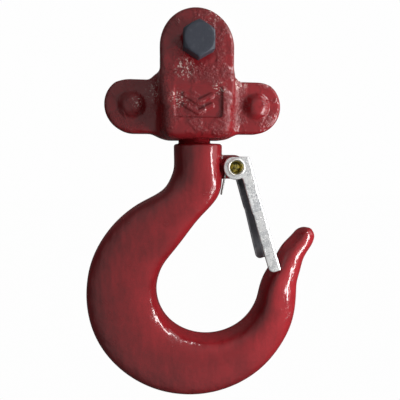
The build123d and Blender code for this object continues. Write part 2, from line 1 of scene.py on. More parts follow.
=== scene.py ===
# %% [markdown]
# # The bottom hook block of a chain hoist
#
# This lesson dresses a working model for the camera. A forged yoke in two halves hangs on a cross
# bolt, a painted hook swivels under it on a thrust bearing, and a sprung latch closes its throat.
# Everything that moves or fits was settled before and comes in as a fixed frame. Here each outer
# piece gets the skin that a forge, a press and a paint tank would have given it.
#
# The first cell loads the frame and keeps its nodes, whose boxes give most sizes below.

# %% Load the frame
import json
from math import cos, pi, radians, sin, tan

import bpy
import numpy as np
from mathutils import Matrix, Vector


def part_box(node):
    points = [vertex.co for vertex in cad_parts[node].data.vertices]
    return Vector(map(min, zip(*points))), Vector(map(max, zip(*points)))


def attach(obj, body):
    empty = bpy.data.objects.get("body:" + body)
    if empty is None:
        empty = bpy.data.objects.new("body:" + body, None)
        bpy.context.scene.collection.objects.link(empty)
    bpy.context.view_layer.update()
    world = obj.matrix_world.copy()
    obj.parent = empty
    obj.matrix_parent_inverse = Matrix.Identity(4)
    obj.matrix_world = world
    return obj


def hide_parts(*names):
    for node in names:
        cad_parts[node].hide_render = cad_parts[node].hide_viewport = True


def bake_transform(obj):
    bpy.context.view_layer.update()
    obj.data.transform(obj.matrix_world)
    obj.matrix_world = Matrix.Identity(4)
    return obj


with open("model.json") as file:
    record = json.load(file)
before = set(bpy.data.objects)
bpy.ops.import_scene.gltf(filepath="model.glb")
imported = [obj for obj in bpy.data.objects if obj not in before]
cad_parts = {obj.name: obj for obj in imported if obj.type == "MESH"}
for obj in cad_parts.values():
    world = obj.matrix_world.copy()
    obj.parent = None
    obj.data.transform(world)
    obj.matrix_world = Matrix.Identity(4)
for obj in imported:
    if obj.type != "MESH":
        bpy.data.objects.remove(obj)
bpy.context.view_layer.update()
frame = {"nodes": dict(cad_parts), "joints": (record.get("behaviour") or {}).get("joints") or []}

# %% [markdown]
# ## Places come from the frame
#
# Blender counts in metres, but a hook is drawn in millimetres, so the shapes below are worked out
# in millimetres and scaled once, when their mesh is made. The corners of a node's box already give
# most sizes: the right rivet tells where the ears are, the washer how thick the cheeks are, and
# the lower race where the bearing stands. Only what no box can tell is given as a number.

# %% Sizes read from the frame
MM = 0.001


def corners(node):
    """The lowest and the highest corner of a CAD node, in millimetres."""
    low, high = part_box(node)
    return np.array(low) / MM, np.array(high) / MM


yoke_low, yoke_high = corners("yoke_front")
rivet_low, rivet_high = corners("yoke_rivet_right")
bolt_low, bolt_high = corners("chain_bolt")
washer_low, washer_high = corners("chain_bolt_washer")
nut_low, nut_high = corners("chain_bolt_nut")
cotter_low, cotter_high = corners("chain_bolt_cotter")
race_low, race_high = corners("bearing_lower_race")
hook_low, hook_high = corners("hook")
latch_rivet_low, latch_rivet_high = corners("latch_rivet")
joint_at = {joint["name"]: np.array(joint["pos_m"]) / MM for joint in frame["joints"]}
pivot = joint_at["latch_hinge"]
EAR_Z = (rivet_low[2] + rivet_high[2]) / 2
print("latch pivot in mm:", pivot.round(2))

# %% [markdown]
# ## From arrays to a mesh
#
# A turned, drawn or forged piece is a row of closed rings: `rings` joins each ring to the next and
# closes both ends on a point, or joins the last ring to the first for a shape like a washer. It
# doesn't matter which way round the rings run, because `outward` adds up the solid's volume and
# turns the faces if it comes out negative. `add_piece` then makes one smooth object, lets it ride
# on its body and hides the CAD nodes that it stands for.

# %% Rings, meshes and pieces
FINISHES = {}


def rings(points, loop=False):
    """Faces over points[i, j]: j runs round a closed ring and i goes from ring to ring.

    The first and last ring close on their middle point or, with loop, on each other.
    """
    rows, columns = points.shape[:2]
    index = np.arange(rows * columns).reshape(rows, columns)
    here, ahead = (index, np.roll(index, -1, 0)) if loop else (index[:-1], index[1:])
    quads = np.stack([here, np.roll(here, -1, 1), np.roll(ahead, -1, 1), ahead], -1).reshape(-1, 4)
    flat = points.reshape(-1, 3)
    if loop:
        return flat, [quads]
    first_pole, last_pole = np.full(columns, len(flat)), np.full(columns, len(flat) + 1)
    first = np.stack([np.roll(index[0], -1), index[0], first_pole], -1)
    last = np.stack([index[-1], np.roll(index[-1], -1), last_pole], -1)
    return np.concatenate([flat, points[[0, -1]].mean(1)]), [quads, first, last]


def outward(points, faces):
    """The faces of a closed shell, turned round if the volume inside them comes out negative."""
    volume = 0.0
    for group in faces:
        for k in range(1, group.shape[1] - 1):
            wedge = np.cross(points[group[:, k]], points[group[:, k + 1]])
            volume += (points[group[:, 0]] * wedge).sum()
    return faces if volume > 0 else [group[:, ::-1] for group in faces]


def mesh_of(name, shells):
    """One smooth mesh, in metres, from closed shells given as (points, groups of faces)."""
    points, faces, count = [], [], 0
    for shell_points, shell_faces in shells:
        faces += [group + count for group in outward(shell_points, shell_faces)]
        points.append(shell_points)
        count += len(shell_points)
    sizes = np.concatenate([np.full(len(group), group.shape[1]) for group in faces])
    mesh = bpy.data.meshes.new(name)
    mesh.vertices.add(count)
    mesh.vertices.foreach_set("co", (np.concatenate(points) * MM).ravel())
    mesh.loops.add(int(sizes.sum()))
    mesh.loops.foreach_set("vertex_index", np.concatenate([group.ravel() for group in faces]))
    mesh.polygons.add(len(sizes))
    mesh.polygons.foreach_set("loop_start", np.cumsum(sizes) - sizes)
    mesh.update(calc_edges=True)
    mesh.shade_smooth()
    return mesh


def add_piece(name, shells, body, slot, nodes=(), finish=None):
    """Adds a piece that rides on a body, fills a slot with its finish and stands for CAD nodes.

    Without a body it isn't made to ride. Without a finish of its own it takes the one named like
    its slot.
    """
    mesh = mesh_of(name, shells)
    mesh.materials.append(FINISHES[finish or slot])
    piece = bpy.data.objects.new(name, mesh)
    bpy.context.collection.objects.link(piece)
    if body:
        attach(piece, body)
    if nodes:
        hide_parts(*nodes)
    print(f"{name}: {len(mesh.vertices)} points, {len(mesh.polygons)} faces")
    return piece


# %% [markdown]
# ## Shapes given by one function of space
#
# A forging has no sharp corner anywhere: its walls run into each other in wide hollows and its rims
# are round. Joining boxes and rounding their edges afterwards is fragile. Instead, each plate is a
# distance: negative inside it, zero on its skin and positive outside. The larger of two distances
# is what both plates share, the smaller is both together, and rounding that choice gives the
# fillets for nothing. `level_surface` finds the skin: one point in each small cell that the zero
# level crosses, one face round each crossed edge, and then every point slides down the slope onto
# the exact level, so the skin shades as smoothly as the formula.

# %% Distances and their skin
def rounded_max(first, second, radius):
    """The larger of two distances; where they are nearly equal a parabola rounds the corner."""
    near = np.maximum(radius - np.abs(first - second), 0)
    return np.maximum(first, second) + near ** 2 / (4 * radius)


def rounded_min(first, second, radius):
    """The smaller of two distances, with a hollow of about the radius where they meet."""
    return -rounded_max(-first, -second, radius)


def slope_of(field, points, reach=0.01):
    """How fast the field grows along x, y and z, from its values a little to each side."""
    steps = np.eye(3) * reach
    ahead = [field(points + step) - field(points - step) for step in steps]
    return np.stack(ahead, -1) / (2 * reach)


SLIDES = 6                  # how often a point slides down the slope
LEAST_SLOPE = 0.2           # squared, so that no point leaps where the field is flat


def level_surface(field, low, high, cell):
    """The closed skin on which field is zero, inside the box from low to high.

    A point starts at the mean of its cell's crossings. Each slide moves it by the field's value
    over the slope's length, against the slope, and by half a cell at most.
    """
    axes = [np.arange(a - 2 * cell, b + 3 * cell, cell) for a, b in zip(low, high)]
    value = field(np.stack(np.meshgrid(*axes, indexing="ij"), -1))
    cells = np.array(value.shape) - 1
    total, hits, quads = np.zeros((cells.prod(), 3)), np.zeros(cells.prod()), []
    for axis in range(3):
        start = value[tuple(slice(None, -1) if k == axis else slice(None) for k in range(3))]
        end = value[tuple(slice(1, None) if k == axis else slice(None) for k in range(3))]
        at = np.argwhere((start < 0) != (end < 0))
        v0, v1 = start[tuple(at.T)], end[tuple(at.T)]
        crossing = np.stack([axes[k][at[:, k]] for k in range(3)], -1)
        crossing[:, axis] += cell * v0 / (v0 - v1)
        side, up = (axis + 1) % 3, (axis + 2) % 3
        ids = []
        for back_side, back_up in ((0, 0), (1, 0), (1, 1), (0, 1)):
            home = at.copy()
            home[:, side] -= back_side
            home[:, up] -= back_up
            ids.append(np.ravel_multi_index(home.T, cells))
            hits += np.bincount(ids[-1], minlength=len(hits))
            for k in range(3):
                total[:, k] += np.bincount(ids[-1], crossing[:, k], len(hits))
        quad = np.stack(ids, -1)
        quads.append(np.where((v0 < 0)[:, None], quad, quad[:, ::-1]))
    used = hits > 0
    points = total[used] / hits[used][:, None]
    for _ in range(SLIDES):
        slope = slope_of(field, points)
        move = field(points) / np.maximum((slope ** 2).sum(-1), LEAST_SLOPE)
        points = points - slope * np.clip(move, -cell / 2, cell / 2)[:, None]
    return points, [(np.cumsum(used) - 1)[np.concatenate(quads)]]


# %% [markdown]
# ## A small language for finishes
#
# A finish is a web of shader nodes, and building one node by node hides what it says. So a
# `Signal` wraps an output socket and lets it be written in sums, such as `1 - mask` or
# `0.2 * lumps + 0.02 * peel`, each of which adds a Math node. Every other node comes from
# `Finish.node`, which takes its type, its settings and what goes into its sockets. Patterns are
# read in millimetres on the object itself, so they stay on a piece when it turns.

# %% Signals and finishes
class Signal:
    """One output socket of a board, which can be added, subtracted, multiplied and compared."""

    def __init__(self, board, socket):
        self.board = board
        self.socket = socket

    def math(self, operation, first, second):
        """A Math node between two numbers or signals."""
        return self.board.node("ShaderNodeMath", {"operation": operation}, {0: first, 1: second})

    def __add__(self, other):
        return self.math("ADD", self, other)

    def __sub__(self, other):
        return self.math("SUBTRACT", self, other)

    def __rsub__(self, other):
        return self.math("SUBTRACT", other, self)

    def __mul__(self, other):
        return self.math("MULTIPLY", self, other)

    __radd__ = __add__
    __rmul__ = __mul__

    def between(self, low, high):
        """0 below low, 1 above high and a smooth rise from one to the other."""
        return self.board.node("ShaderNodeMapRange", {"interpolation_type": "SMOOTHSTEP"},
                               {"Value": self, "From Min": low, "From Max": high})


class Board:
    """A tree of shader nodes, and the one method that adds to it."""

    def __init__(self, tree):
        self.tree = tree

    def plug(self, socket, value):
        """Puts a value into a socket, or links a signal to it."""
        if isinstance(value, Signal):
            self.tree.links.new(value.socket, socket)
        else:
            socket.default_value = value

    def node(self, kind, settings=None, inputs=None, output=0):
        """Adds a node: its settings first, then a value or a signal for each named socket."""
        node = self.tree.nodes.new(kind)
        for name, value in (settings or {}).items():
            setattr(node, name, value)
        for name, value in (inputs or {}).items():
            self.plug(node.inputs[name], value)
        return Signal(self, node.outputs[output])

    def mix(self, share, first, second, blend="MIX"):
        """A colour between first and second, by a share from 0 to 1."""
        settings = {"data_type": "RGBA", "blend_type": blend}
        return self.node("ShaderNodeMix", settings, {0: share, 6: first, 7: second}, output=2)


class Finish(Board):
    """A Principled material that is built up from signals."""

    def __init__(self, name, uniform):
        self.material = bpy.data.materials.new(name)
        self.material.use_nodes = True
        super().__init__(self.material.node_tree)
        self.shader = self.tree.nodes["Principled BSDF"]
        for socket, number in uniform.items():
            self.shader.inputs[socket].default_value = number
        FINISHES[name] = self.material

    def set(self, **links):
        """Feeds signals into the shader: Base_Color becomes the socket Base Color."""
        for name, value in links.items():
            self.plug(self.shader.inputs[name.replace("_", " ")], value)

    def place(self, stretch=(1, 1, 1), middle=(0, 0, 0)):
        """The point on the piece in millimetres from the middle, stretched along each axis."""
        here = self.node("ShaderNodeTexCoord", output="Object")
        moved = self.node("ShaderNodeVectorMath", {"operation": "SUBTRACT"},
                          {0: here, 1: [m * MM for m in middle]})
        return self.node("ShaderNodeVectorMath", {"operation": "MULTIPLY"},
                         {0: moved, 1: [s / MM for s in stretch]})

    def noise(self, size, detail=2.0, rough=0.5, stretch=(1, 1, 1)):
        """Cloudy noise from 0 to 1 with features about size millimetres across."""
        inputs = {"Vector": self.place(stretch), "Scale": 1 / size, "Detail": detail}
        inputs["Roughness"] = rough
        return self.node("ShaderNodeTexNoise", {}, inputs)

    def kept_number(self, name):
        """A number from 0 to 1 that is kept on each point of the piece under a name."""
        return self.node("ShaderNodeAttribute", {"attribute_name": name}, output="Fac")

    def near(self, middle, radius):
        """1 at a place on the piece, fading to 0 at a radius in millimetres from it."""
        away = self.node("ShaderNodeVectorMath", {"operation": "LENGTH"},
                         {0: self.place(middle=middle)}, output="Value")
        return 1 - away.between(0.3 * radius, radius)

    def bump(self, height):
        """The surface normal over a relief whose height is in millimetres."""
        return self.node("ShaderNodeBump", {}, {"Height": height, "Distance": MM, "Strength": 1.0})


# %% [markdown]
# ## Red enamel over a raw forging
#
# The block is dipped and hung to drain. The enamel is thick and glossy, but the forging under it
# is lumpy, so highlights break up into small wandering strokes. Four reliefs are added: broad
# lumps of the forging, gritty patches of scale that the paint didn't quite fill, long runs where
# it drained, and the fine orange peel of the enamel itself. The colour is deeper where the coat
# pooled, and the gloss is duller on the grit. The yoke's forging is coarse, so its grit shows
# nearly everywhere, and pale spots on its crests, mostly in the hollows, are painted glints; the
# hook's forging is smooth and shows the runs instead. All this could be painted by hand on an
# unwrapped skin, but that has seams and only one sharpness. Noise measured in millimetres has
# neither fault, and two sets of depths make both paints out of one recipe.

# %% Red enamel
THIN_RED, POOLED_RED = (0.215, 0.010, 0.014, 1), (0.165, 0.008, 0.011, 1)
# The last colour here is the pale of the painted glints on the yoke's grit.
GRITTY_RED, PAINTED_GLINT = (0.09, 0.004, 0.006, 1), (0.78, 0.62, 0.57, 1)
PEEL_DEPTH = 0.014


def red_enamel(name, lump_depth, grit_depth, run_depth, grit_from, glint_places=()):
    """Enamel whose relief is lumps, patchy grit, runs and peel, each its noise times its depth.

    The colour goes from thin to pooled red with a broad noise and is darker on the grit. Painted
    glints turn it pale in small spots that fade out with the distance from each glint's place.
    """
    finish = Finish(name, {"IOR": 1.5})
    lumps = finish.noise(6.0, 2.0)
    patches = finish.noise(7.0, 2.0).between(grit_from, grit_from + 0.16)
    grit = finish.noise(1.1, 3.0, 0.62)
    runs = finish.noise(4.0, 1.0, stretch=(1, 1, 0.25))
    peel = finish.noise(0.8, 1.0)
    gritty = patches * grit
    relief = lump_depth * lumps + grit_depth * gritty + run_depth * runs + PEEL_DEPTH * peel
    finish.set(Normal=finish.bump(relief))
    pooled = finish.noise(16.0, 3.0, 0.6).between(0.35, 0.68)
    colour = finish.mix(0.4 * gritty, finish.mix(pooled, THIN_RED, POOLED_RED), GRITTY_RED)
    glint_specks = finish.noise(0.9, 3.0, 0.7).between(0.54, 0.62)
    # Painted glints: pale spots near each place stand in for highlights on the grit.
    for place, radius in glint_places:
        colour = finish.mix(0.8 * glint_specks * finish.near(place, radius), colour, PAINTED_GLINT)
    finish.set(Base_Color=colour)
    finish.set(Roughness=0.13 + 0.12 * patches + 0.05 * grit)


# Where the painted glints stand, in millimetres, and how far their pale spots reach.
YOKE_GLINT_PLACES = (((-17, -9, EAR_Z + 6), 7.0), ((-5, -15, -10), 5.5), ((-8, -17, EAR_Z + 1), 4.5),
               ((8.5, -17, EAR_Z + 5.5), 3.8), ((19, -6, EAR_Z + 9.5), 5.0), ((7, -15, 11), 4.0),
               ((-24.3, -8, EAR_Z + 1), 3.2))
red_enamel("red_paint", 0.14, 0.55, 0.05, 0.42, YOKE_GLINT_PLACES)
red_enamel("red_hook_paint", 0.42, 0.08, 0.34, 0.58)
print("red finishes:", sorted(FINISHES))

# %% [markdown]
# ## Blackened steel
#
# The bolt and both nuts are blackened: a thin, dark, slightly blue oxide that is matt and a little
# uneven. It shows the fine grain of the cold-headed steel, and it rubs paler in faint clouds. One
# dark grey would look like plastic. A film changes colour and gloss together as it wears, so the
# same clouds feed both.

# %% Black oxide
DEEP_OXIDE, THIN_OXIDE = (0.022, 0.026, 0.038, 1), (0.040, 0.045, 0.062, 1)
RUBBED_OXIDE = (0.08, 0.085, 0.10, 1)


def black_oxide():
    """Matt oxide: clouds between two blue blacks, and finer clouds where it is rubbed paler."""
    finish = Finish("black_oxide", {"IOR": 1.5})
    clouds = finish.noise(3.0, 3.0, 0.6)
    grain = finish.noise(0.35, 2.0, 0.6)
    rubbed = finish.noise(1.6, 4.0, 0.7).between(0.5, 0.75)
    colour = finish.mix(clouds, DEEP_OXIDE, THIN_OXIDE)
    finish.set(Base_Color=finish.mix(0.4 * rubbed, colour, RUBBED_OXIDE))
    finish.set(Roughness=0.5 + 0.2 * clouds - 0.1 * rubbed)
    finish.set(Normal=finish.bump(0.05 * clouds + 0.015 * grain))


black_oxide()
print("finishes so far:", len(FINISHES))

# %% [markdown]
# ## Zinc plating, clear and yellow
#
# The latch is pressed from sheet and plated with zinc. Its shine is broken by clouds where the bath
# left the zinc duller, by fine lines from the sheet's rolling, and by small scuffs. A number kept
# on each point, 1 on the inner faces, darkens them as painted shade inside the channel, and another
# paints shade and dulls the gloss just above the crease and on the web and its bends.
# The rivet has the yellow chromate that is put on zinc against rust. It has rubbed off its rolled
# rims and is left in its bores, so the film's share follows the distance from the rivet's axis. A
# metal mirrors the room, so the lights do most of the work and the noise only breaks them up.

# %% Zinc and yellow zinc
ZINC, DULL_ZINC = (0.96, 0.96, 0.95, 1), (0.42, 0.43, 0.44, 1)
# The grey here is painted shade for the inner faces of the latch's channel.
PAINTED_CHANNEL_SHADE = (0.20, 0.205, 0.23, 1)
CHROMATE, OLD_CHROMATE = (0.70, 0.58, 0.16, 1), (0.10, 0.10, 0.05, 1)
RUBBED_RIM = (0.86, 0.86, 0.83, 1)
FILM_ENDS = (2.5, 3.0)      # radii between which the yellow film fades out
ROLLING_ALONG_LATCH = (4.0, 4.0, 0.25)


def plated(name, lines):
    """Zinc: clouds and speckle set the share of dull metal, and scuffs and folds take the gloss.

    The kept numbers paint shade inside the channel, above the crease and on the web and its bends.
    """
    finish = Finish(name, {"Metallic": 1.0})
    clouds = finish.noise(4.0, 4.0, 0.65)
    speckle = finish.noise(0.7, 3.0, 0.6)
    rolling = finish.noise(0.5, 2.0, 0.6, stretch=lines)
    scuffs = finish.noise(1.1, 2.0, 0.5, stretch=(1, 1, 3)).between(0.6, 0.7)
    shade = (0.6 * clouds + 0.4 * speckle).between(0.42, 0.60)
    # Painted shade: the inner faces of the channel are darkened towards a grey.
    channel_shade = finish.kept_number("inside").between(0.4, 0.8)
    # Painted shade with duller gloss just above the crease and on the web and its bends.
    fold_shade_and_dulling = finish.kept_number("fold_shade_and_dulling")
    colour = finish.mix((fold_shade_and_dulling * fold_shade_and_dulling + shade).between(0.0, 1.3), ZINC, DULL_ZINC)
    finish.set(Base_Color=finish.mix(0.85 * channel_shade, colour, PAINTED_CHANNEL_SHADE))
    finish.set(Roughness=0.28 + 0.20 * shade + 0.12 * scuffs + 0.25 * fold_shade_and_dulling)
    finish.set(Normal=finish.bump(0.06 * clouds + 0.012 * rolling + 0.02 * scuffs))
    return finish


plated("zinc_plate", ROLLING_ALONG_LATCH)
brassy = plated("yellow_zinc", (1, 1, 1))
film = brassy.mix(brassy.noise(2.0, 3.0).between(0.4, 0.6), CHROMATE, OLD_CHROMATE)
from_axis = brassy.node("ShaderNodeVectorMath", {"operation": "LENGTH"},
                        {0: brassy.place((1, 0, 1), pivot)}, output="Value")
brassy.set(Base_Color=brassy.mix(from_axis.between(*FILM_ENDS), film, RUBBED_RIM))
print("finishes so far:", len(FINISHES))

# %% [markdown]
# ## Bare steel inside
#
# The spring is drawn wire, and the bearing is ground steel under a film of oil, with a pressed cage
# that is warmer and duller. They differ only in colour, gloss and which way their fine lines run,
# so one function makes all three.

# %% Spring, bearing and cage steel
def bare_steel(name, bright, dull, gloss, lines, depth):
    """Steel whose film of oil dulls its colour and gloss in clouds, over fine ground lines."""
    finish = Finish(name, {"Metallic": 1.0})
    film = finish.noise(2.5, 3.0, 0.6)
    ground = finish.noise(0.3, 2.0, 0.5, stretch=lines)
    finish.set(Base_Color=finish.mix(film, bright, dull))
    finish.set(Roughness=gloss + 0.15 * film)
    finish.set(Normal=finish.bump(depth * ground))


DRAWN, OILY_DRAWN = (0.30, 0.29, 0.28, 1), (0.15, 0.145, 0.14, 1)
GROUND, OILY_GROUND = (0.70, 0.70, 0.70, 1), (0.52, 0.50, 0.47, 1)
PRESSED, OILY_PRESSED = (0.55, 0.52, 0.46, 1), (0.36, 0.33, 0.28, 1)
bare_steel("spring_steel", DRAWN, OILY_DRAWN, 0.30, (1, 3, 1), 0.01)
bare_steel("bearing_steel", GROUND, OILY_GROUND, 0.10, (0.2, 0.2, 4), 0.004)
bare_steel("cage_steel", PRESSED, OILY_PRESSED, 0.32, (1, 1, 1), 0.015)
for node in frame["nodes"].values():
    for material_slot in node.material_slots:
        material_slot.material = FINISHES[material_slot.name.split(".")[0]]
print("finishes:", sorted(FINISHES))

# %% [markdown]
# ## The forged yoke
#
# Each half is one forging: a flat plate with two ears for the rivets, a round-topped cheek for the
# bolt and a drafted box round the bearing. In space it is three plates, each rounded at its rim,
# joined with wide hollows where they meet. The chain slot, the bearing's housing, the bores and
# the sunk plaque are cut out of them in the same way, with small round edges. Both halves use one
# formula of x, the depth from the parting plane, and z. Only the front half has the plaque.

# %% Yoke sizes
RIVET_X = (rivet_low[0] + rivet_high[0]) / 2
RIVET_DOME = 3.2            # how far a rivet's head stands out
EAR_THICK = rivet_high[1] - RIVET_DOME
EAR_R = yoke_high[0] - RIVET_X
LOBE_R = 14.9
LOBE_Z = yoke_high[2] - LOBE_R
LOBE_DEPTH = washer_low[1]
BOX_DEPTH = -yoke_low[1]
BOX_BOTTOM = yoke_low[2]
FLOOR_TOP = race_low[2]
HOUSING_ROOM = 0.7          # over the end of the hook's shank
SLOT_FLOOR = hook_high[2] + HOUSING_ROOM
BOX_TOP = SLOT_FLOOR + 1.5
HOUSING_R = race_high[0] + 0.25     # a quarter of a millimetre of room round the bearing
BOX_HALF_WIDTH = HOUSING_R + 0.75
BOX_DRAFT = radians(9)
BOX_RAMP = radians(20)      # from the cheek's face down to the box's
SLOT_HALF = 4.0
CROSS_HALF, CROSS_DEPTH, CROSS_BOTTOM = 3.85, 11.2, 8.0
JOURNAL_BORE_R = 7.55
BOLT_SHANK_R, BORE_ROOM = 4.0, 0.1
RIVET_BORE_R = 3.0
SLOT_ROUND, CROSS_ROUND = 1.5, 2.0  # rounding of the two slots' own corners
RIM = 2.6                   # rounding of the forged rims
BOX_EDGE, BOX_FOOT = 1.5 * RIM, 2.2 * RIM   # the box is rounder at its edges and underneath
HOLLOW = 4.8                # rounding where a wall meets the ears
CUT_EDGE = 1.2              # rounding of the edges of slots and bores
PARTING_EDGE = 0.7          # rounding where the halves meet
PLAQUE_HALF_WIDTH, PLAQUE_HALF_HEIGHT, PLAQUE_DEPTH = 9.5, 6.0, 0.75
PLAQUE_CORNER, PLAQUE_EDGE = 1.5, 0.4
CHEVRON_HALF_WIDTH, CHEVRON_RISE, CHEVRON_STROKE = 5.4, 2.9, 0.9
CHEVRON_LIFT = 0.75
CHEVRON_FEET = (-4.1, -0.2)
print(f"ears at z {EAR_Z:.1f}, radius {EAR_R:.1f}; box {BOX_HALF_WIDTH * 2:.1f} wide")


# %% Yoke halves
def forged_plates(x, depth, z):
    """Ears, cheek and box joined: each plate is its outline and its thickness, rounded at the rim.

    The ears' outline is a bar with round ends, the cheek's is straight below its round top, and
    the box narrows with depth by its draft.
    """
    side = np.abs(x)
    ear_outline = np.hypot(np.maximum(side - RIVET_X, 0), z - EAR_Z) - EAR_R
    ears = rounded_max(ear_outline, depth - EAR_THICK, RIM)
    cheek_outline = np.hypot(x, np.maximum(z - LOBE_Z, 0)) - LOBE_R
    cheek = rounded_max(cheek_outline, depth - LOBE_DEPTH, RIM)
    cheek = rounded_max(cheek, EAR_Z - z, RIM)
    half_width = BOX_HALF_WIDTH + (BOX_DEPTH - depth) * tan(BOX_DRAFT)
    box = rounded_max((side - half_width) * cos(BOX_DRAFT), depth - BOX_DEPTH, BOX_EDGE)
    ramp = (depth - LOBE_DEPTH) * cos(BOX_RAMP) + (z - BOX_TOP) * sin(BOX_RAMP)
    top = rounded_max(z - BOX_TOP, ramp, RIM)
    box = rounded_max(rounded_max(box, top, RIM), BOX_BOTTOM - z, BOX_FOOT)
    return rounded_min(rounded_min(cheek, box, RIM), ears, HOLLOW)


def hollows(x, depth, z):
    """Everything that is cut out of both halves: negative inside the chain slot, the cross slot
    for the next link, the bearing's housing, the journal's bore, the bolt's bore and the rivets'.
    """
    side, round_axis = np.abs(x), np.hypot(x, depth)
    slot = rounded_max(depth - SLOT_HALF, SLOT_FLOOR - z, SLOT_ROUND)
    cross = rounded_max(side - CROSS_HALF, depth - CROSS_DEPTH, CROSS_ROUND)
    cross = rounded_max(cross, CROSS_BOTTOM - z, CROSS_ROUND)
    housing = np.maximum(round_axis - HOUSING_R, np.maximum(FLOOR_TOP - z, z - SLOT_FLOOR - 0.5))
    journal = np.maximum(round_axis - JOURNAL_BORE_R, z - FLOOR_TOP - 1)
    bolt = np.hypot(x, z) - BOLT_SHANK_R - BORE_ROOM
    rivets = np.hypot(side - RIVET_X, z - EAR_Z) - RIVET_BORE_R
    cut = np.minimum(np.minimum(slot, cross), np.minimum(housing, journal))
    return np.minimum(cut, np.minimum(bolt, rivets))


def plaque(x, depth, z):
    """Negative inside the sunk panel of the box, apart from two raised chevrons on its floor.

    A chevron is all that lies within a stroke's half width of a bent line, found by folding the
    panel along its middle and measuring to one straight arm.
    """
    side, floor = np.abs(x), BOX_DEPTH - PLAQUE_DEPTH
    upright = np.abs(z - EAR_Z)
    panel = rounded_max(side - PLAQUE_HALF_WIDTH, upright - PLAQUE_HALF_HEIGHT, PLAQUE_CORNER)
    panel = rounded_max(panel, floor - depth, PLAQUE_EDGE)
    arm = np.array([CHEVRON_HALF_WIDTH, CHEVRON_RISE])
    for foot in CHEVRON_FEET:
        along = (side * arm[0] + (z - EAR_Z - foot) * arm[1]) / (arm @ arm)
        along = np.clip(along, 0, 1)
        away = np.hypot(side - along * arm[0], z - EAR_Z - foot - along * arm[1])
        raised = rounded_max(away - CHEVRON_STROKE, depth - floor - CHEVRON_LIFT, 0.3)
        panel = rounded_max(panel, -raised, 0.25)
    return panel


def yoke_half(facing, has_plaque):
    """The distance field of one half; facing is -1 for the front half and 1 for the back."""
    def field(points):
        x, y, z = np.moveaxis(points, -1, 0)
        depth = facing * y
        body = rounded_max(forged_plates(x, depth, z), -depth, PARTING_EDGE)
        body = rounded_max(body, -hollows(x, depth, z), CUT_EDGE)
        return rounded_max(body, -plaque(x, depth, z), PLAQUE_EDGE) if has_plaque else body
    return field


YOKE_CELL = 0.42
for name, facing in (("yoke_front", -1), ("yoke_back", 1)):
    low, high = corners(name)
    shell = level_surface(yoke_half(facing, facing < 0), low, high, YOKE_CELL)
    add_piece("painted_" + name, [shell], "yoke", "red_paint", [name])

# %% [markdown]
# ## Rivets under the paint
#
# Two rivets hold the halves together. Their domes were painted with the yoke, so the enamel has
# drawn up round each head in a soft collar and no sharp line is left. Half a sphere would do for
# the dome but not for its collar, so a rivet is turned: a list of radii along its axis is carried
# round a full turn.

# %% Turned pieces
AROUND = np.arange(96) * 2 * pi / 96


def turned(profile, axis, centre, turn=AROUND):
    """Rings from a profile of (radius, distance along the axis) pairs, carried round the axis.

    A radius may also be an array, one number for each angle of the turn.
    """
    first, second = (axis + 1) % 3, (axis + 2) % 3
    points = np.zeros((len(profile), len(turn), 3)) + np.array(centre)
    for ring, (radius, along) in zip(points, profile):
        ring[:, first] += radius * np.cos(turn)
        ring[:, second] += radius * np.sin(turn)
        ring[:, axis] += along
    return points


# %% Painted rivets
RIVET_HEAD_R = (rivet_high[0] - rivet_low[0]) / 2
RIVET_SHANK_R = 2.9
COLLAR = 1.1                # width of the paint drawn up round a head


def rivet_profile():
    """Half a rivet from its dome's top to its middle.

    The painted dome is a squared cosine of a power of the radius: flat on top, steep at the
    head's rim and running out flat into the ear.
    """
    share = np.linspace(0.03, 1, 44)
    dome_height = RIVET_DOME * np.cos(pi / 2 * share ** 1.7) ** 2
    ends = [RIVET_HEAD_R, RIVET_SHANK_R, RIVET_SHANK_R]
    radius = np.concatenate([share * (RIVET_HEAD_R + COLLAR), ends])
    height = np.concatenate([dome_height - 0.03, [-1.5, -2.0, -EAR_THICK + 0.01]])
    return np.stack([radius, EAR_THICK + height], -1)


half = rivet_profile()
whole = np.concatenate([half * (1, -1), half[::-1]])
for name, side in (("yoke_rivet_left", -1), ("yoke_rivet_right", 1)):
    shell = rings(turned(whole, 1, (side * RIVET_X, 0, EAR_Z)))
    add_piece("painted_" + name, [shell], "yoke", "red_paint", [name])

# %% [markdown]
# ## The cross bolt
#
# A hexagon is also turned, with a radius that changes round the turn: the flats' distance divided
# by the cosine of the angle from the nearest flat. The chamfer is a cone, and the head is wherever
# both are, so the radius is the smaller of the two. The thread is a ripple whose crest climbs one
# pitch in each turn. A Screw modifier would also wind a thread, but it wouldn't run out smoothly
# into the shank.

# %% Chain bolt
HEAD_ACROSS = bolt_high[0] - bolt_low[0]
THREAD_PITCH, THREAD_DEPTH, THREAD_LENGTH = 1.25, 0.6, 11.0
CHAMFER = pi / 6            # angle of the cones on heads and nuts
HEAD_CONE_R, HEAD_SEAT_R = 0.465 * HEAD_ACROSS, 0.47 * HEAD_ACROSS


def hexagon(across, turn):
    """The radius of a hexagon whose flats look along angle 0 and every sixth of a turn."""
    return across / 2 / np.cos((turn + pi / 6) % (pi / 3) - pi / 6)


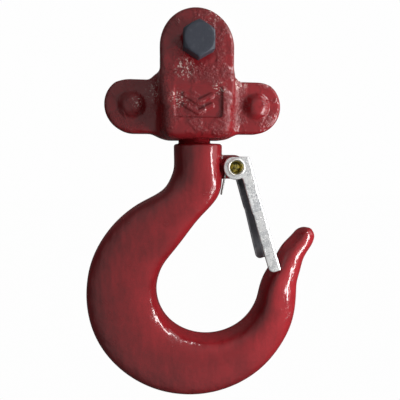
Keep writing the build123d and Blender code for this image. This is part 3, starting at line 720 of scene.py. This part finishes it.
def bolt_rings():
    """The bolt from the middle of its head's face to its tip.

    The head's radius is the smaller of the hexagon's and the cone's. A thread's is the shank's less
    a ripple: a cosine of the distance, in pitches, less the angle.
    """
    flats = hexagon(HEAD_ACROSS, AROUND + pi / 2)
    profile = [(1.0, 0.05), (HEAD_ACROSS * 0.36, 0.05), (HEAD_ACROSS * 0.45, 0.0)]
    for drop in (0.06, 0.15, 0.3, 0.5, 0.75, 1.05, 1.5):
        cone = HEAD_CONE_R + drop / tan(CHAMFER)
        profile.append((rounded_min(flats, cone, 0.35), drop))
    head_height = -bolt_low[1] - LOBE_DEPTH
    profile += [(flats, head_height - 0.5), (flats - 0.12, head_height - 0.2)]
    profile += [(flats - 0.5, head_height - 0.1), (HEAD_SEAT_R, head_height)]
    profile += [(BOLT_SHANK_R + 0.5, head_height), (BOLT_SHANK_R, head_height + 0.5)]
    length = bolt_high[1] - bolt_low[1]
    thread_start = length - THREAD_LENGTH
    profile.append((BOLT_SHANK_R, thread_start))
    for along in np.linspace(thread_start, length - 0.1, 90):
        ripple = 0.5 - 0.5 * np.cos(2 * pi * along / THREAD_PITCH - AROUND)
        grown = min(1.0, (along - thread_start) / THREAD_PITCH)
        limit = BOLT_SHANK_R - 0.05 - max(0.0, along - length + 0.8)
        crest = BOLT_SHANK_R - THREAD_DEPTH * grown * ripple
        profile.append((rounded_min(crest, limit, 0.1), along))
    profile.append((2.5, length))
    return turned(profile, 1, (0, bolt_low[1], 0))


add_piece("blackened_chain_bolt", [rings(bolt_rings())], "yoke", "black_oxide", ["chain_bolt"])

# %% [markdown]
# ## The slotted nut
#
# The slots in its end let a split pin lock the nut. They could be cut out of a hexagon with a
# Boolean, which leaves thin faces along each cut. So the nut is a distance like the yoke: a hexagon
# and two chamfer cones, less the bore and the slots. Folding the angle into a sixth of a turn makes
# all six walls and all six openings out of one.

# %% Slotted nut
NUT_ACROSS = nut_high[0] - nut_low[0]
NUT_SLOT_DEPTH, NUT_SLOT_HALF, NUT_CELL = 3.0, 1.1, 0.22


def nut_field(points):
    """Inside the hexagon and its two chamfer cones, outside the bore and the three slots."""
    x, y, z = np.moveaxis(points, -1, 0)
    radius, turn = np.hypot(x, z), np.arctan2(z, x)
    fold = (turn + pi / 6) % (pi / 3) - pi / 6
    body = radius * np.cos(fold) - NUT_ACROSS / 2
    ends = np.maximum(y - nut_high[1], nut_low[1] - y)
    cones = (radius + ends / tan(CHAMFER) - NUT_ACROSS * 0.49) * sin(CHAMFER)
    body = rounded_max(rounded_max(body, ends, 0.3), cones, 0.3)
    bore = BOLT_SHANK_R - BORE_ROOM - radius
    slots = rounded_max(np.abs(radius * np.sin(fold)) - NUT_SLOT_HALF,
                        nut_high[1] - NUT_SLOT_DEPTH - y, 0.8)
    slots = np.maximum(slots, 2.0 - radius)
    return rounded_max(rounded_max(body, bore, 0.6), -slots, 0.3)


shell = level_surface(nut_field, nut_low, nut_high, NUT_CELL)
add_piece("blackened_slotted_nut", [shell], "yoke", "black_oxide", ["chain_bolt_nut"])


# %% [markdown]
# ## The washer
#
# A washer is stamped from plate and tumbled, so its edges are round. A cylinder with a hole and a
# Bevel modifier would do, but a squared oval that is carried round the axis has its round edges
# already, on an even grid. The hook's sections and its lug will use the same squared oval.

# %% Washer
SHARP_EDGES, SOFT_EDGES = 0.2, 0.35     # powers that turn a circle into a box with round corners


def squared(turn, squareness):
    """The cosine and sine of a turn, each raised to a power that squares up the circle."""
    across = np.sign(np.cos(turn)) * np.abs(np.cos(turn)) ** squareness
    along = np.sign(np.sin(turn)) * np.abs(np.sin(turn)) ** squareness
    return across, along


def washer_rings(inner, outer, low, high):
    """A flat ring round the bolt: a squared oval section that is carried round."""
    across, along = squared(np.arange(40) * 2 * pi / 40, SHARP_EDGES)
    radius = (inner + outer) / 2 + (outer - inner) / 2 * across
    height = (low + high) / 2 + (high - low) / 2 * along
    return rings(turned(np.stack([radius, height], -1), 1, (0, 0, 0)), loop=True)


shell = washer_rings(BOLT_SHANK_R + BORE_ROOM, washer_high[0], washer_low[1], washer_high[1])
add_piece("plated_washer", [shell], "yoke", "zinc_plate", ["chain_bolt_washer"])

# %% [markdown]
# ## Curves and wires
#
# A wire is a round section carried along a path. The path is a natural cubic curve through a few
# given points: between two points it is their straight mix plus a cubic term that lets
# slope and bend run on without a step. The same curve will carry the hook's whole sections.

# %% Natural curves and tubes
def natural_curve(rows, count):
    """count rows on smooth curves through the given rows, evenly spaced along their middles."""
    flat = rows.reshape(len(rows), -1)
    middles = rows.reshape(len(rows), -1, rows.shape[-1]).mean(1)
    gaps = np.linalg.norm(np.diff(middles, axis=0), axis=1)
    knots = np.concatenate([[0], np.cumsum(gaps)])
    inner = np.arange(1, len(rows) - 1)
    system, pull = np.eye(len(rows)), np.zeros_like(flat)
    system[inner, inner - 1] = gaps[:-1]
    system[inner, inner] = 2 * (gaps[:-1] + gaps[1:])
    system[inner, inner + 1] = gaps[1:]
    pull[1:-1] = 6 * np.diff(np.diff(flat, axis=0) / gaps[:, None], axis=0)
    bend = np.linalg.solve(system, pull)
    at = np.linspace(0, knots[-1], count)
    k = np.clip(np.searchsorted(knots, at, side="right") - 1, 0, len(gaps) - 1)
    gap = gaps[k][:, None]
    end_share = (at - knots[k])[:, None] / gap
    start_share = 1 - end_share
    curve = start_share * flat[k] + end_share * flat[k + 1]
    curve += (start_share ** 3 - start_share) * bend[k] * gap ** 2 / 6
    curve += (end_share ** 3 - end_share) * bend[k + 1] * gap ** 2 / 6
    return curve.reshape((count,) + rows.shape[1:])


def wire(path, radius, reference, sides=20):
    """A round wire with round ends: rings square to the path, one axis square to the reference."""
    ahead = np.gradient(path, axis=0)
    ahead /= np.linalg.norm(ahead, axis=1)[:, None]
    across = np.cross(ahead, reference)
    across /= np.linalg.norm(across, axis=1)[:, None]
    upward = np.cross(across, ahead)
    length = np.concatenate([[0], np.cumsum(np.linalg.norm(np.diff(path, axis=0), axis=1))])
    to_end = np.minimum(length, length[-1] - length)
    size = radius * np.sqrt(1 - np.clip(1 - to_end / radius, 0, 0.97) ** 2)
    turn = np.arange(sides) * 2 * pi / sides
    section = across[:, None] * np.cos(turn)[:, None] + upward[:, None] * np.sin(turn)[:, None]
    return rings(path[:, None] + size[:, None, None] * section)


# %% [markdown]
# ## The split pin
#
# The real pin is half-round wire, folded into an eye and with its legs bent apart behind the nut.
# Two half-round legs that touch would need a seam, and nobody sees it. So one round wire follows
# one curve: in along a leg, round the eye and back along the other leg.

# %% Split pin
COTTER_WIRE = 0.44
COTTER_APART = 0.46         # half the distance between the legs' middles
cotter_y = (cotter_low[1] + cotter_high[1]) / 2
eye_x, eye_r = cotter_low[0] + 2.2, 1.75


def cotter_path():
    """One wire: out along a bent leg, through the nut, round the eye and back to the other leg."""
    leg = [(9.1, 3.9), (8.2, 2.3), (7.1, 0.5), (5.0, 0.0), (0.0, 0.0), (-6.2, 0.0)]
    near = [(x, -COTTER_APART, z) for x, z in leg]
    far = [(x, COTTER_APART, -z) for x, z in reversed(leg)]
    bow = [(eye_x + eye_r * cos(a), -eye_r * sin(a), 0) for a in np.linspace(0.7, 2 * pi - 0.7, 9)]
    return natural_curve(np.array(near + bow + far) + (0, cotter_y, 0), 220)


shell = wire(cotter_path(), COTTER_WIRE, (0, 0.35, 1))
add_piece("plated_split_pin", [shell], "yoke", "zinc_plate", ["chain_bolt_cotter"])

# %% [markdown]
# ## The hook
#
# The hook is drop forged from a bar: a turned shank and journal, a round neck, and a body whose
# section swells in the saddle and thins to the tip. A table says where the inner edge of each
# section lies round the bowl, which way it points and how deep it is. Each section is a squared
# oval, and one natural curve carries all of them from the neck to the nose, so the skin has no
# joint. A curve object with a bevel would be quicker, but it keeps one section all the way and
# only scales it. A fine ridge is left where the two dies met.

# %% Hook sizes and sections
JOURNAL_R, SHANK_R, NECK_R, NECK_X = 7.2, 6.0, 10.9, 1.6
SHANK_EDGE, JOURNAL_EDGE = 0.8, 0.4 # chamfers of the turned end
SHOULDER_Z = BOX_BOTTOM - 1.9
SHOULDER_EDGE = 1.2         # rounding of the neck's upper edge
BOWL_R, BOWL_X = 25.4, 7.2
BOWL_Z = SHOULDER_Z - 42.7 - BOWL_R
HOOK_THICK, TIP_THICK = 20.0, 12.5
DIE_RIDGE, RIDGE_HALF = 0.22, 0.9
INSET = 0.02                # keeps the skin inside the hook's box
FULLNESS = 0.92             # of a section's middle against its widest place
NOSE_CAP = 0.2              # how far the last section bulges past its plane
HOOK_SECTIONS = (           # angle round the bowl, gap beyond it, direction, depth, thickness share
    (84.4, 21.5, 162.0, 23.4, 1.00),
    (96.9, 10.2, 141.0, 21.1, 1.00),
    (119.1, 2.0, 125.0, 24.6, 1.00),
    (138.0, 0.0, 124.5, 28.0, 1.00),
    (149.0, 0.0, 133.5, 29.3, 1.00),
    (159.0, 0.0, 145.0, 30.4, 1.00),
    (171.0, 0.0, 160.0, 31.6, 1.00),
    (186.0, 0.0, 180.0, 32.4, 1.00),
    (203.0, 0.0, 201.0, 32.9, 1.00),
    (222.0, 0.0, 222.0, 32.4, 1.00),
    (243.0, 0.0, 243.0, 31.3, 1.00),
    (263.0, 0.2, 263.0, 29.4, 1.00),
    (283.0, 0.6, 283.0, 26.8, 0.98),
    (302.0, 1.0, 302.0, 24.0, 0.92),
    (321.0, 1.0, 321.0, 21.4, 0.82),
    (340.0, 0.6, 337.0, 19.8, 0.68),
    (358.0, 0.9, 350.0, 17.8, 0.52),
    (369.0, 3.4, 346.0, 16.0, 0.38),
    (379.0, 9.2, 340.0, 13.4, 0.22),
    (387.0, 16.2, 334.0, 11.4, 0.06),
    (390.1, 23.3, 330.0, 9.9, -0.12),
    (391.2, 26.6, 325.0, 8.8, -0.29),
    (390.9, 28.9, 325.0, 6.6, -0.64),
    (390.1, 30.4, 325.0, 3.9, -1.06),
    (389.4, 31.2, 325.0, 2.0, -1.36),
)


# %% Hook body
def hook_section(inner, outward_angle, depth, thickness, squareness, taper=0.0):
    """A squared oval in the plane of its direction and y, narrower on its outer side by the taper.

    Its cosine and sine are raised to the squareness. The ridge of the dies stands on its outer
    edge: the rest of that edge lies lower by a bell curve of the distance from the middle plane.
    """
    across, sideways = squared(AROUND, squareness)
    y = thickness / 2 * (1 - taper * across) * sideways
    off_ridge = 1 - np.exp(-(y / RIDGE_HALF) ** 2)
    reach = (depth - INSET) / 2 * (1 + across) - DIE_RIDGE * off_ridge * (across > 0) * across
    x = inner[0] + reach * cos(outward_angle)
    z = inner[1] + reach * sin(outward_angle)
    return np.stack([x, y, z], -1)


def hook_rings():
    """Shank, journal, rounded shoulder, then the forging's sections and its round nose.

    Towards the tip, where the thickness share falls, a section grows more oval and more tapered.
    """
    top_z, step_z = hook_high[2], FLOOR_TOP - 0.6
    turned_part = [(SHANK_R - 1.0, 0, top_z), (SHANK_R - SHANK_EDGE, 0, top_z)]
    turned_part += [(SHANK_R, 0, top_z - SHANK_EDGE), (SHANK_R, 0, step_z)]
    turned_part += [(JOURNAL_R - JOURNAL_EDGE, 0, step_z), (JOURNAL_R, 0, step_z - JOURNAL_EDGE)]
    turned_part += [(JOURNAL_R, 0, SHOULDER_Z + 0.5), (JOURNAL_R + 0.3, 0.1, SHOULDER_Z + 0.1)]
    turned_part += [(JOURNAL_R + 0.8, 0.3, SHOULDER_Z), (NECK_R - 1.3, NECK_X, SHOULDER_Z)]
    for lean in np.linspace(0.15, 1.0, 5) * pi / 2:
        edge_r, edge_z = NECK_R - SHOULDER_EDGE, SHOULDER_Z - SHOULDER_EDGE
        turned_part.append((edge_r + SHOULDER_EDGE * sin(lean), NECK_X,
                            edge_z + SHOULDER_EDGE * cos(lean)))
    top = [hook_section((x + r, z), pi, 2 * r, 2 * r, 1.0) for r, x, z in turned_part]
    rows = []
    for drop in (1.6, 4.5, 9.0):
        side = (NECK_X + NECK_R, SHOULDER_Z - drop)
        rows.append(hook_section(side, pi, 2 * NECK_R, 2 * NECK_R, 1.0))
    for angle, gap, direction, depth, share in HOOK_SECTIONS:
        reach = BOWL_R + gap
        inner = (BOWL_X + reach * cos(radians(angle)), BOWL_Z + reach * sin(radians(angle)))
        thickness = TIP_THICK + (HOOK_THICK - TIP_THICK) * share
        slender = min(1, 2 * (1 - share))
        squareness = 0.85 if len(rows) == 3 else 0.75 + 0.09 * slender
        taper = 0.08 + 0.20 * slender
        rows.append(hook_section(inner, radians(direction), depth, FULLNESS * thickness,
                                 squareness, taper))
    body = natural_curve(np.array(rows), 420)
    nose, before = body[-1], body[-2].mean(0)
    middle = nose.mean(0)
    ahead = (middle - before) / np.linalg.norm(middle - before)
    bulge = ahead * NOSE_CAP
    cap = [middle + (nose - middle) * cos(a) + bulge * sin(a) for a in (0.35, 0.7, 1.05, 1.35)]
    return np.concatenate([top, body, cap])


# %% [markdown]
# The latch's lug stands on the neck. It is a plate with a hole, so it is carried round the hole: at
# each angle its section is a squared oval from the hole to the rim. The rim's distance follows a
# bar with one round end, and the plate thickens as it nears the neck, which gives the forged
# hollow between them.

# %% Latch lug and the whole hook
LUG_HALF, LUG_R = 3.7, 5.4
LUG_HOLE_R = 3.08
NECK_FACE = pivot[0] - NECK_X - NECK_R


def lug_rings():
    """The lug, carried round its hole. Its rim is round on the free side and straight towards the
    neck, and its half thickness grows with the square of how far it has gone into the neck."""
    turn = np.arange(120)[:, None] * 2 * pi / 120
    section = (np.arange(64) * 2 * pi / 64)[None, :]
    towards_neck = np.maximum(-np.cos(turn), 1e-6)
    straight = LUG_R / np.maximum(np.abs(np.sin(turn)), 1e-6)
    rim = np.where(np.cos(turn) < 0, np.minimum(straight, (NECK_FACE + 4.5) / towards_neck), LUG_R)
    across, along = squared(section, SOFT_EDGES)
    radius = (rim + LUG_HOLE_R) / 2 + (rim - LUG_HOLE_R) / 2 * across
    x, z = radius * np.cos(turn), radius * np.sin(turn)
    into_neck = np.maximum(-x - NECK_FACE + 0.8, 0)
    half_thickness = LUG_HALF + 0.22 * into_neck ** 2
    z = z * (1 + 0.035 * into_neck ** 2)
    return np.stack([pivot[0] + x, half_thickness * along, pivot[2] + z], -1)


shells = [rings(hook_rings()), rings(lug_rings(), loop=True)]
add_piece("painted_hook", shells, "hook_body", "red_paint", ["hook"], "red_hook_paint")

# %% [markdown]
# ## The pressed latch
#
# The latch is one sheet folded into a channel: two ears on the rivet, two flanges that open out
# towards the tip from a crease, and a web that faces out of the throat. As a distance it is the
# space between an outer and an inner channel, cut to the side view's outline. A flat plane could
# be folded and given a wall by Solidify, but every bend and rim would then need edges set by hand.
# The latch is worked out hanging straight down from the pivot, then leant to its closed place.

# %% Latch sizes
LATCH_SHEET, LATCH_WEB, LATCH_LENGTH = 1.5, 7.3, 51.08
LATCH_TILT = radians(16.49)
LATCH_PIVOT_HALF, LATCH_TIP_HALF, LATCH_CREASE = 8.0, 11.0, 22.0
LATCH_BEND, INNER_BEND = 1.3, 0.6
LATCH_FLARE = (LATCH_TIP_HALF - LATCH_PIVOT_HALF) / (LATCH_LENGTH - LATCH_CREASE)
LATCH_RIM = 0.8
LATCH_EYE_R, LATCH_TOP, LATCH_BORE_R = 5.5, 4.6, 3.0
LATCH_INNER = LATCH_WEB - 5.8
LATCH_CORNER = 2.6
LATCH_OUTLINE = np.array([
    (LATCH_WEB, LATCH_EYE_R), (0, LATCH_EYE_R), (-3.85, -2.0), (-0.4, -7.0),
    (1.8, -0.46 * LATCH_LENGTH), (LATCH_INNER, -0.9 * LATCH_LENGTH), (LATCH_INNER, -LATCH_LENGTH),
    (LATCH_WEB, -LATCH_LENGTH)])


def shrunk(outline, by):
    """The outline with every side moved inwards: each corner is where its two moved sides meet."""
    along = np.roll(outline, -1, 0) - outline
    along /= np.linalg.norm(along, axis=1)[:, None]
    inwards = np.stack([-along[:, 1], along[:, 0]], -1)
    before, before_in = np.roll(along, 1, 0), np.roll(inwards, 1, 0)
    turn = before[:, 0] * along[:, 1] - before[:, 1] * along[:, 0]
    gap = (inwards - before_in) * by
    reach = (gap[:, 0] * along[:, 1] - gap[:, 1] * along[:, 0]) / turn
    return outline + before_in * by + before * reach[:, None]


def outline_distance(x, z, outline):
    """Distance to the nearest side, negative inside. A point is inside if its level line crosses
    an odd number of sides on one side of it."""
    nearest, inside = np.full(x.shape, np.inf), np.zeros(x.shape, bool)
    for (ax, az), (bx, bz) in zip(outline, np.roll(outline, -1, 0)):
        sx, sz = bx - ax, bz - az
        share = np.clip(((x - ax) * sx + (z - az) * sz) / (sx * sx + sz * sz), 0, 1)
        nearest = np.minimum(nearest, np.hypot(x - ax - share * sx, z - az - share * sz))
        if az != bz:
            crosses = ((z < az) != (z < bz)) & (x < ax + (z - az) * sx / sz)
            inside ^= crosses
    return np.where(inside, -nearest, nearest)


def bent_corner(first, second, radius):
    """Both distances together, with a true circular bend between them."""
    over = np.hypot(np.maximum(first + radius, 0), np.maximum(second + radius, 0))
    return np.minimum(np.maximum(first, second) + radius, 0) + over - radius


LATCH_CORNERS = shrunk(LATCH_OUTLINE, LATCH_RIM)


def channel(points, depth, bend):
    """Distance to the channel's faces at a depth into the sheet: a web and two flanges, which flare
    in proportion to how far they are below the crease."""
    x, y, z = np.moveaxis(points, -1, 0)
    half = LATCH_PIVOT_HALF + LATCH_FLARE * np.maximum(-LATCH_CREASE - z, 0)
    return bent_corner(x - LATCH_WEB + depth, np.abs(y) - half + depth, bend)


def latch_field(points):
    """Between the outer and the inner channel, within the side outline, clear of the rivet.

    The outline is the arm and the eye round the rivet together, below the ears' top edge, which is
    level once the latch is leant.
    """
    x, _, z = np.moveaxis(points, -1, 0)
    outer, inner = channel(points, 0, LATCH_BEND), channel(points, LATCH_SHEET, INNER_BEND)
    outline = outline_distance(x, z, LATCH_CORNERS) - LATCH_RIM
    outline = np.maximum(outline, bent_corner(LATCH_INNER - x, -LATCH_LENGTH - z, LATCH_CORNER))
    outline = rounded_min(outline, np.hypot(x, z) - LATCH_EYE_R, 1.0)
    level = x * sin(LATCH_TILT) + z * cos(LATCH_TILT) - LATCH_TOP
    outline = rounded_max(outline, level, 1.2)
    sheet = rounded_max(outer, -inner, 0.3)
    sheet = rounded_max(sheet, outline, 0.5)
    return rounded_max(sheet, LATCH_BORE_R - np.hypot(x, z), 0.4)


def leant(points):
    """Turns points about the pivot's axis by the closed latch's lean, and moves them to it."""
    x, y, z = np.moveaxis(points, -1, 0)
    lean_x = x * cos(LATCH_TILT) - z * sin(LATCH_TILT)
    lean_z = x * sin(LATCH_TILT) + z * cos(LATCH_TILT)
    return np.stack([lean_x, y, lean_z], -1) + pivot


# %% [markdown]
# ## The latch's skin and its rivet
#
# The skin is found standing straight, and is leant afterwards. Two numbers are kept on its points
# for the zinc: how far a point is into the sheet, which is 1 on the inner faces where shade is
# painted inside the channel, and the share of painted shade and duller gloss above the crease and
# on the web. They could be painted by hand, but here the shape knows them already. The rivet
# is a pin that was drilled at both ends and whose rims were rolled over the ears, so it is turned.

# %% Latch and its rivet
LATCH_CELL = 0.33
latch_low = (-6.5, -LATCH_TIP_HALF, -LATCH_LENGTH)
latch_high = (LATCH_WEB, LATCH_TIP_HALF, 5.6)
points, faces = level_surface(latch_field, latch_low, latch_high, LATCH_CELL)
latch = add_piece("pressed_latch", [(leant(points), faces)], "latch_body", "zinc_plate", ["latch"])
CREASE_SHADE_REACH = 11.0            # how far above the crease the painted shade reaches
# Painted shade with duller gloss: strongest at the crease, fading over the reach above it, and on
# the web and its bends.
above = points[:, 2] + LATCH_CREASE
stretched = np.clip(1 - above / CREASE_SHADE_REACH, 0, 1) * (above > 0)
web_bend_shade = np.clip((points[:, 0] - LATCH_WEB + 0.9) / 0.5, 0, 1)
# 1 on the inner faces, where the zinc paints shade inside the channel.
inner_face_shade = np.clip(-channel(points, 0, LATCH_BEND) / LATCH_SHEET, 0, 1)
for name, numbers in (("inside", inner_face_shade), ("fold_shade_and_dulling", np.maximum(stretched, web_bend_shade))):
    latch.data.attributes.new(name, "FLOAT", "POINT").data.foreach_set("value", numbers)

RIVET_RIM_R = (latch_rivet_high[0] - latch_rivet_low[0]) / 2
RIM_THICK = latch_rivet_high[1] - LATCH_PIVOT_HALF
DRILL_R, DRILL_DEPTH = 2.4, 4.6
PIN_R = 2.95


def drilled_rivet():
    """A pin drilled at both ends, whose rims are rolled over the ears, carried round the pivot.

    From the drill's conical bottom each bore goes straight out, flares like a trumpet, rolls over
    in half a circle and goes back to the pin's outside.
    """
    roll = np.linspace(pi, -pi / 2, 15)
    roll_radius = RIVET_RIM_R - RIM_THICK / 2 + RIM_THICK / 2 * np.cos(roll)
    roll_height = LATCH_PIVOT_HALF + RIM_THICK / 2 + RIM_THICK / 2 * np.sin(roll)
    flare = np.linspace(0, 1, 8)
    flare_radius = DRILL_R + (roll_radius[0] - DRILL_R) * flare ** 3
    flare_height = LATCH_PIVOT_HALF - 2.2 + (2.2 + RIM_THICK / 2) * flare
    bottom = LATCH_PIVOT_HALF + RIM_THICK - DRILL_DEPTH
    radius = np.concatenate([[0.1, 2.1, 2.35], flare_radius[:-1], roll_radius, [PIN_R, PIN_R]])
    height = np.concatenate([[bottom - 0.9, bottom, bottom + 0.2], flare_height[:-1], roll_height,
                             [LATCH_PIVOT_HALF, 0.5]])
    end = np.stack([radius, height], -1)
    return np.concatenate([end, end[::-1] * (1, -1)])


shell = rings(turned(drilled_rivet(), 1, pivot))
add_piece("rolled_latch_rivet", [shell], "latch_body", "yellow_zinc", ["latch_rivet"])

# %% [markdown]
# ## The double torsion spring
#
# One coil winds round the rivet on each side of the lug. Its inner leg bears on the neck and its
# outer leg runs to a bar under the latch's web. When the latch opens, the coil twists: its inner
# end stays with the hook and its outer end goes with the latch. Here each coil is a piece of its
# own that rides on no body, and the bar rides on the latch. A Screw modifier could wind the turns
# but not the legs, so the wire follows one path from end to end.

# %% Spring
SPRING_R, SPRING_ROOM = 0.45, 0.25
FREE_LEG_END = (-6.0, -12.5)    # beside the neck, from the pivot
BRIDGE_DOWN = 10.5          # from the pivot to the bar, along the latch
COIL_R = 3.0 + SPRING_ROOM + SPRING_R
COIL_Y = LUG_HALF + SPRING_ROOM + SPRING_R
COIL_PITCH = 1.08 * 2 * SPRING_R
OUTER_Y = COIL_Y + 1.5 * COIL_PITCH
under_web = LATCH_WEB - LATCH_SHEET - SPRING_R - SPRING_ROOM
BRIDGE_X = under_web * cos(LATCH_TILT) + BRIDGE_DOWN * sin(LATCH_TILT)
BRIDGE_Z = under_web * sin(LATCH_TILT) - BRIDGE_DOWN * cos(LATCH_TILT)


def coil_path(side):
    """The free leg, one and a half turns that climb by their pitch, and the leg to the bar."""
    leg_end = (FREE_LEG_END[0], COIL_Y, FREE_LEG_END[1])
    free_leg = np.linspace(leg_end, (-COIL_R, COIL_Y, -0.6), 60)
    angle = np.linspace(0, 3 * pi, 240)
    coil = np.stack([-COIL_R * np.cos(angle), COIL_Y + COIL_PITCH * angle / (2 * pi),
                     COIL_R * np.sin(angle)], -1)
    outer_leg = np.linspace((COIL_R, OUTER_Y, -0.6), (BRIDGE_X, OUTER_Y, BRIDGE_Z + 1.2), 40)
    return np.concatenate([free_leg, coil, outer_leg]) * (1, side, 1) + pivot


for name, side in (("spring_coil_front", -1), ("spring_coil_back", 1)):
    coil = add_piece(name, [wire(coil_path(side), SPRING_R, (0, 1, 0))], None, "spring_steel",
                     ["latch_spring"])
    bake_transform(coil)

leg_way = np.array([BRIDGE_X - COIL_R, 0, BRIDGE_Z])
leg_way /= np.linalg.norm(leg_way)
bridge_end = np.array([BRIDGE_X, OUTER_Y, BRIDGE_Z])
bridge = [bridge_end - 2.6 * leg_way, bridge_end - 1.3 * leg_way,
          bridge_end - (0, 0.5, 0) - 0.25 * leg_way, bridge_end - (0, 1.6, 0),
          (BRIDGE_X, 2.0, BRIDGE_Z)]
bridge = np.array(bridge + [(x, -y, z) for x, y, z in reversed(bridge)])
shell = wire(natural_curve(bridge, 160) + pivot, SPRING_R, np.cross(leg_way, (0, 1, 0)))
add_piece("spring_bridge", [shell], "latch_body", "spring_steel", ["latch_spring"])

# %% [markdown]
# ## Lights
#
# Glossy enamel shows its lights as much as its colour, so each lamp is chosen for its reflection. A
# tall narrow one, low on the right, draws the long highlights down the hook and lets the left side
# fall into shade. A smaller one above it lights the yoke, and a wide dim one further off softens
# both. Three fills lift only the matt shade: reflections don't see them, or they would draw pale
# rims along the hook.

# %% Lights
def soft_light(name, place, target, width, height, power):
    """A lamp of the given size in millimetres at a place, looking at a target."""
    lamp = bpy.data.lights.new(name, "AREA")
    lamp.shape = "RECTANGLE"
    lamp.size = width * MM
    lamp.size_y = height * MM
    lamp.energy = power
    light = bpy.data.objects.new(name, lamp)
    light.location = np.array(place) * MM
    way = (np.array(place) - np.array(target)).tolist()
    light.rotation_euler = Vector(way).to_track_quat("Z", "Y").to_euler()
    bpy.context.collection.objects.link(light)
    return light


middle_z = (yoke_high[2] + hook_low[2]) / 2
soft_light("key", (190, -95, -95), (15, 0, -95), 30, 170, 0.45)
soft_light("key_upper", (190, -95, 125), (15, 0, middle_z), 40, 60, 0.22)
soft_light("haze", (260, -60, 20), (0, 0, middle_z), 200, 200, 0.16)
FILLS = (("near", (125, -110, -100), 60, 0.15), ("over", (40, 60, 360), 260, 0.35),
         ("behind", (-160, 360, 60), 260, 0.7))
for name, place, size, power in FILLS:
    fill = soft_light(name, place, (0, 0, middle_z), size, size, power)
    fill.visible_glossy = False
print("lamps:", len(bpy.data.lights))

# %% [markdown]
# ## Floor and room
#
# The floor lies well below, as under a block that hangs. It is a plane that glows, because a lit
# one would need far more light than the object can take. The object's own surfaces don't see it,
# so it doesn't light them from below. The room is the world's light: dim ahead, brighter behind
# the camera, where the plated parts mirror it, and a little brighter above. It counts half for
# matt light, and the camera sees plain white in its place.

# %% Floor and room
WHITE = 0.99
FLOOR_SIZE, FLOOR_DROP = 6, 0.30    # in metres
bpy.ops.mesh.primitive_plane_add(size=FLOOR_SIZE, location=(0, 0, hook_low[2] * MM - FLOOR_DROP))
floor = bpy.context.object
floor.name = "floor"
floor.visible_diffuse = False
floor.visible_glossy = False
pale = Finish("pale_floor", {"Roughness": 1.0, "Specular IOR Level": 0.0,
                             "Emission Strength": WHITE})
pale.set(Base_Color=(0, 0, 0, 1))
pale.set(Emission_Color=pale.mix(pale.noise(90.0), (0.995, 0.995, 0.995, 1), (1, 1, 1, 1)))
floor.data.materials.append(pale.material)

world = bpy.data.worlds.new("studio")
bpy.context.scene.world = world
world.use_nodes = True
sky = Board(world.node_tree)
way = sky.node("ShaderNodeTexCoord", output="Generated")
forward = sky.node("ShaderNodeSeparateXYZ", {}, {0: way}, output="Y")
upward = sky.node("ShaderNodeSeparateXYZ", {}, {0: way}, output="Z")
room = 0.06 + 0.50 * (1 - forward.between(-0.8, 0.1)) + 0.12 * upward.between(0.0, 0.8)
matt_share = 1 - 0.5 * sky.node("ShaderNodeLightPath", output="Is Diffuse Ray")
room_light = sky.mix(room * matt_share, (0, 0, 0, 1), (1, 1, 1, 1))
seen = sky.node("ShaderNodeLightPath", output="Is Camera Ray")
sky.plug(sky.tree.nodes["Background"].inputs["Color"],
         sky.mix(seen, room_light, (WHITE, WHITE, WHITE, 1)))
bpy.context.scene.view_settings.view_transform = "Standard"
print("floor at", round(floor.location.z, 3), "m")

# %% [markdown]
# ## Camera
#
# The camera stands close, a little to the left and a little above, so the right side of the box and
# the inside of the latch show and near parts look larger. Its place is worked out from two angles
# and a distance, which are easier to judge than three coordinates.

# %% Camera
VIEW_FROM, VIEW_UP = radians(-7), radians(8)
VIEW_DISTANCE = 150.0
VIEW_TARGET = np.array([2.6, 0.0, -64.35])
back = np.array([sin(VIEW_FROM) * cos(VIEW_UP), -cos(VIEW_FROM) * cos(VIEW_UP), sin(VIEW_UP)])
lens = bpy.data.cameras.new("camera")
lens.lens = 29.03
lens.sensor_width = 36.0
lens.clip_start = 0.001
camera = bpy.data.objects.new("camera", lens)
camera.location = (VIEW_TARGET + VIEW_DISTANCE * back) * MM
camera.rotation_euler = Vector(back.tolist()).to_track_quat("Z", "Y").to_euler()
bpy.context.collection.objects.link(camera)
bpy.context.scene.camera = camera
print("camera at", [round(c, 3) for c in camera.location])
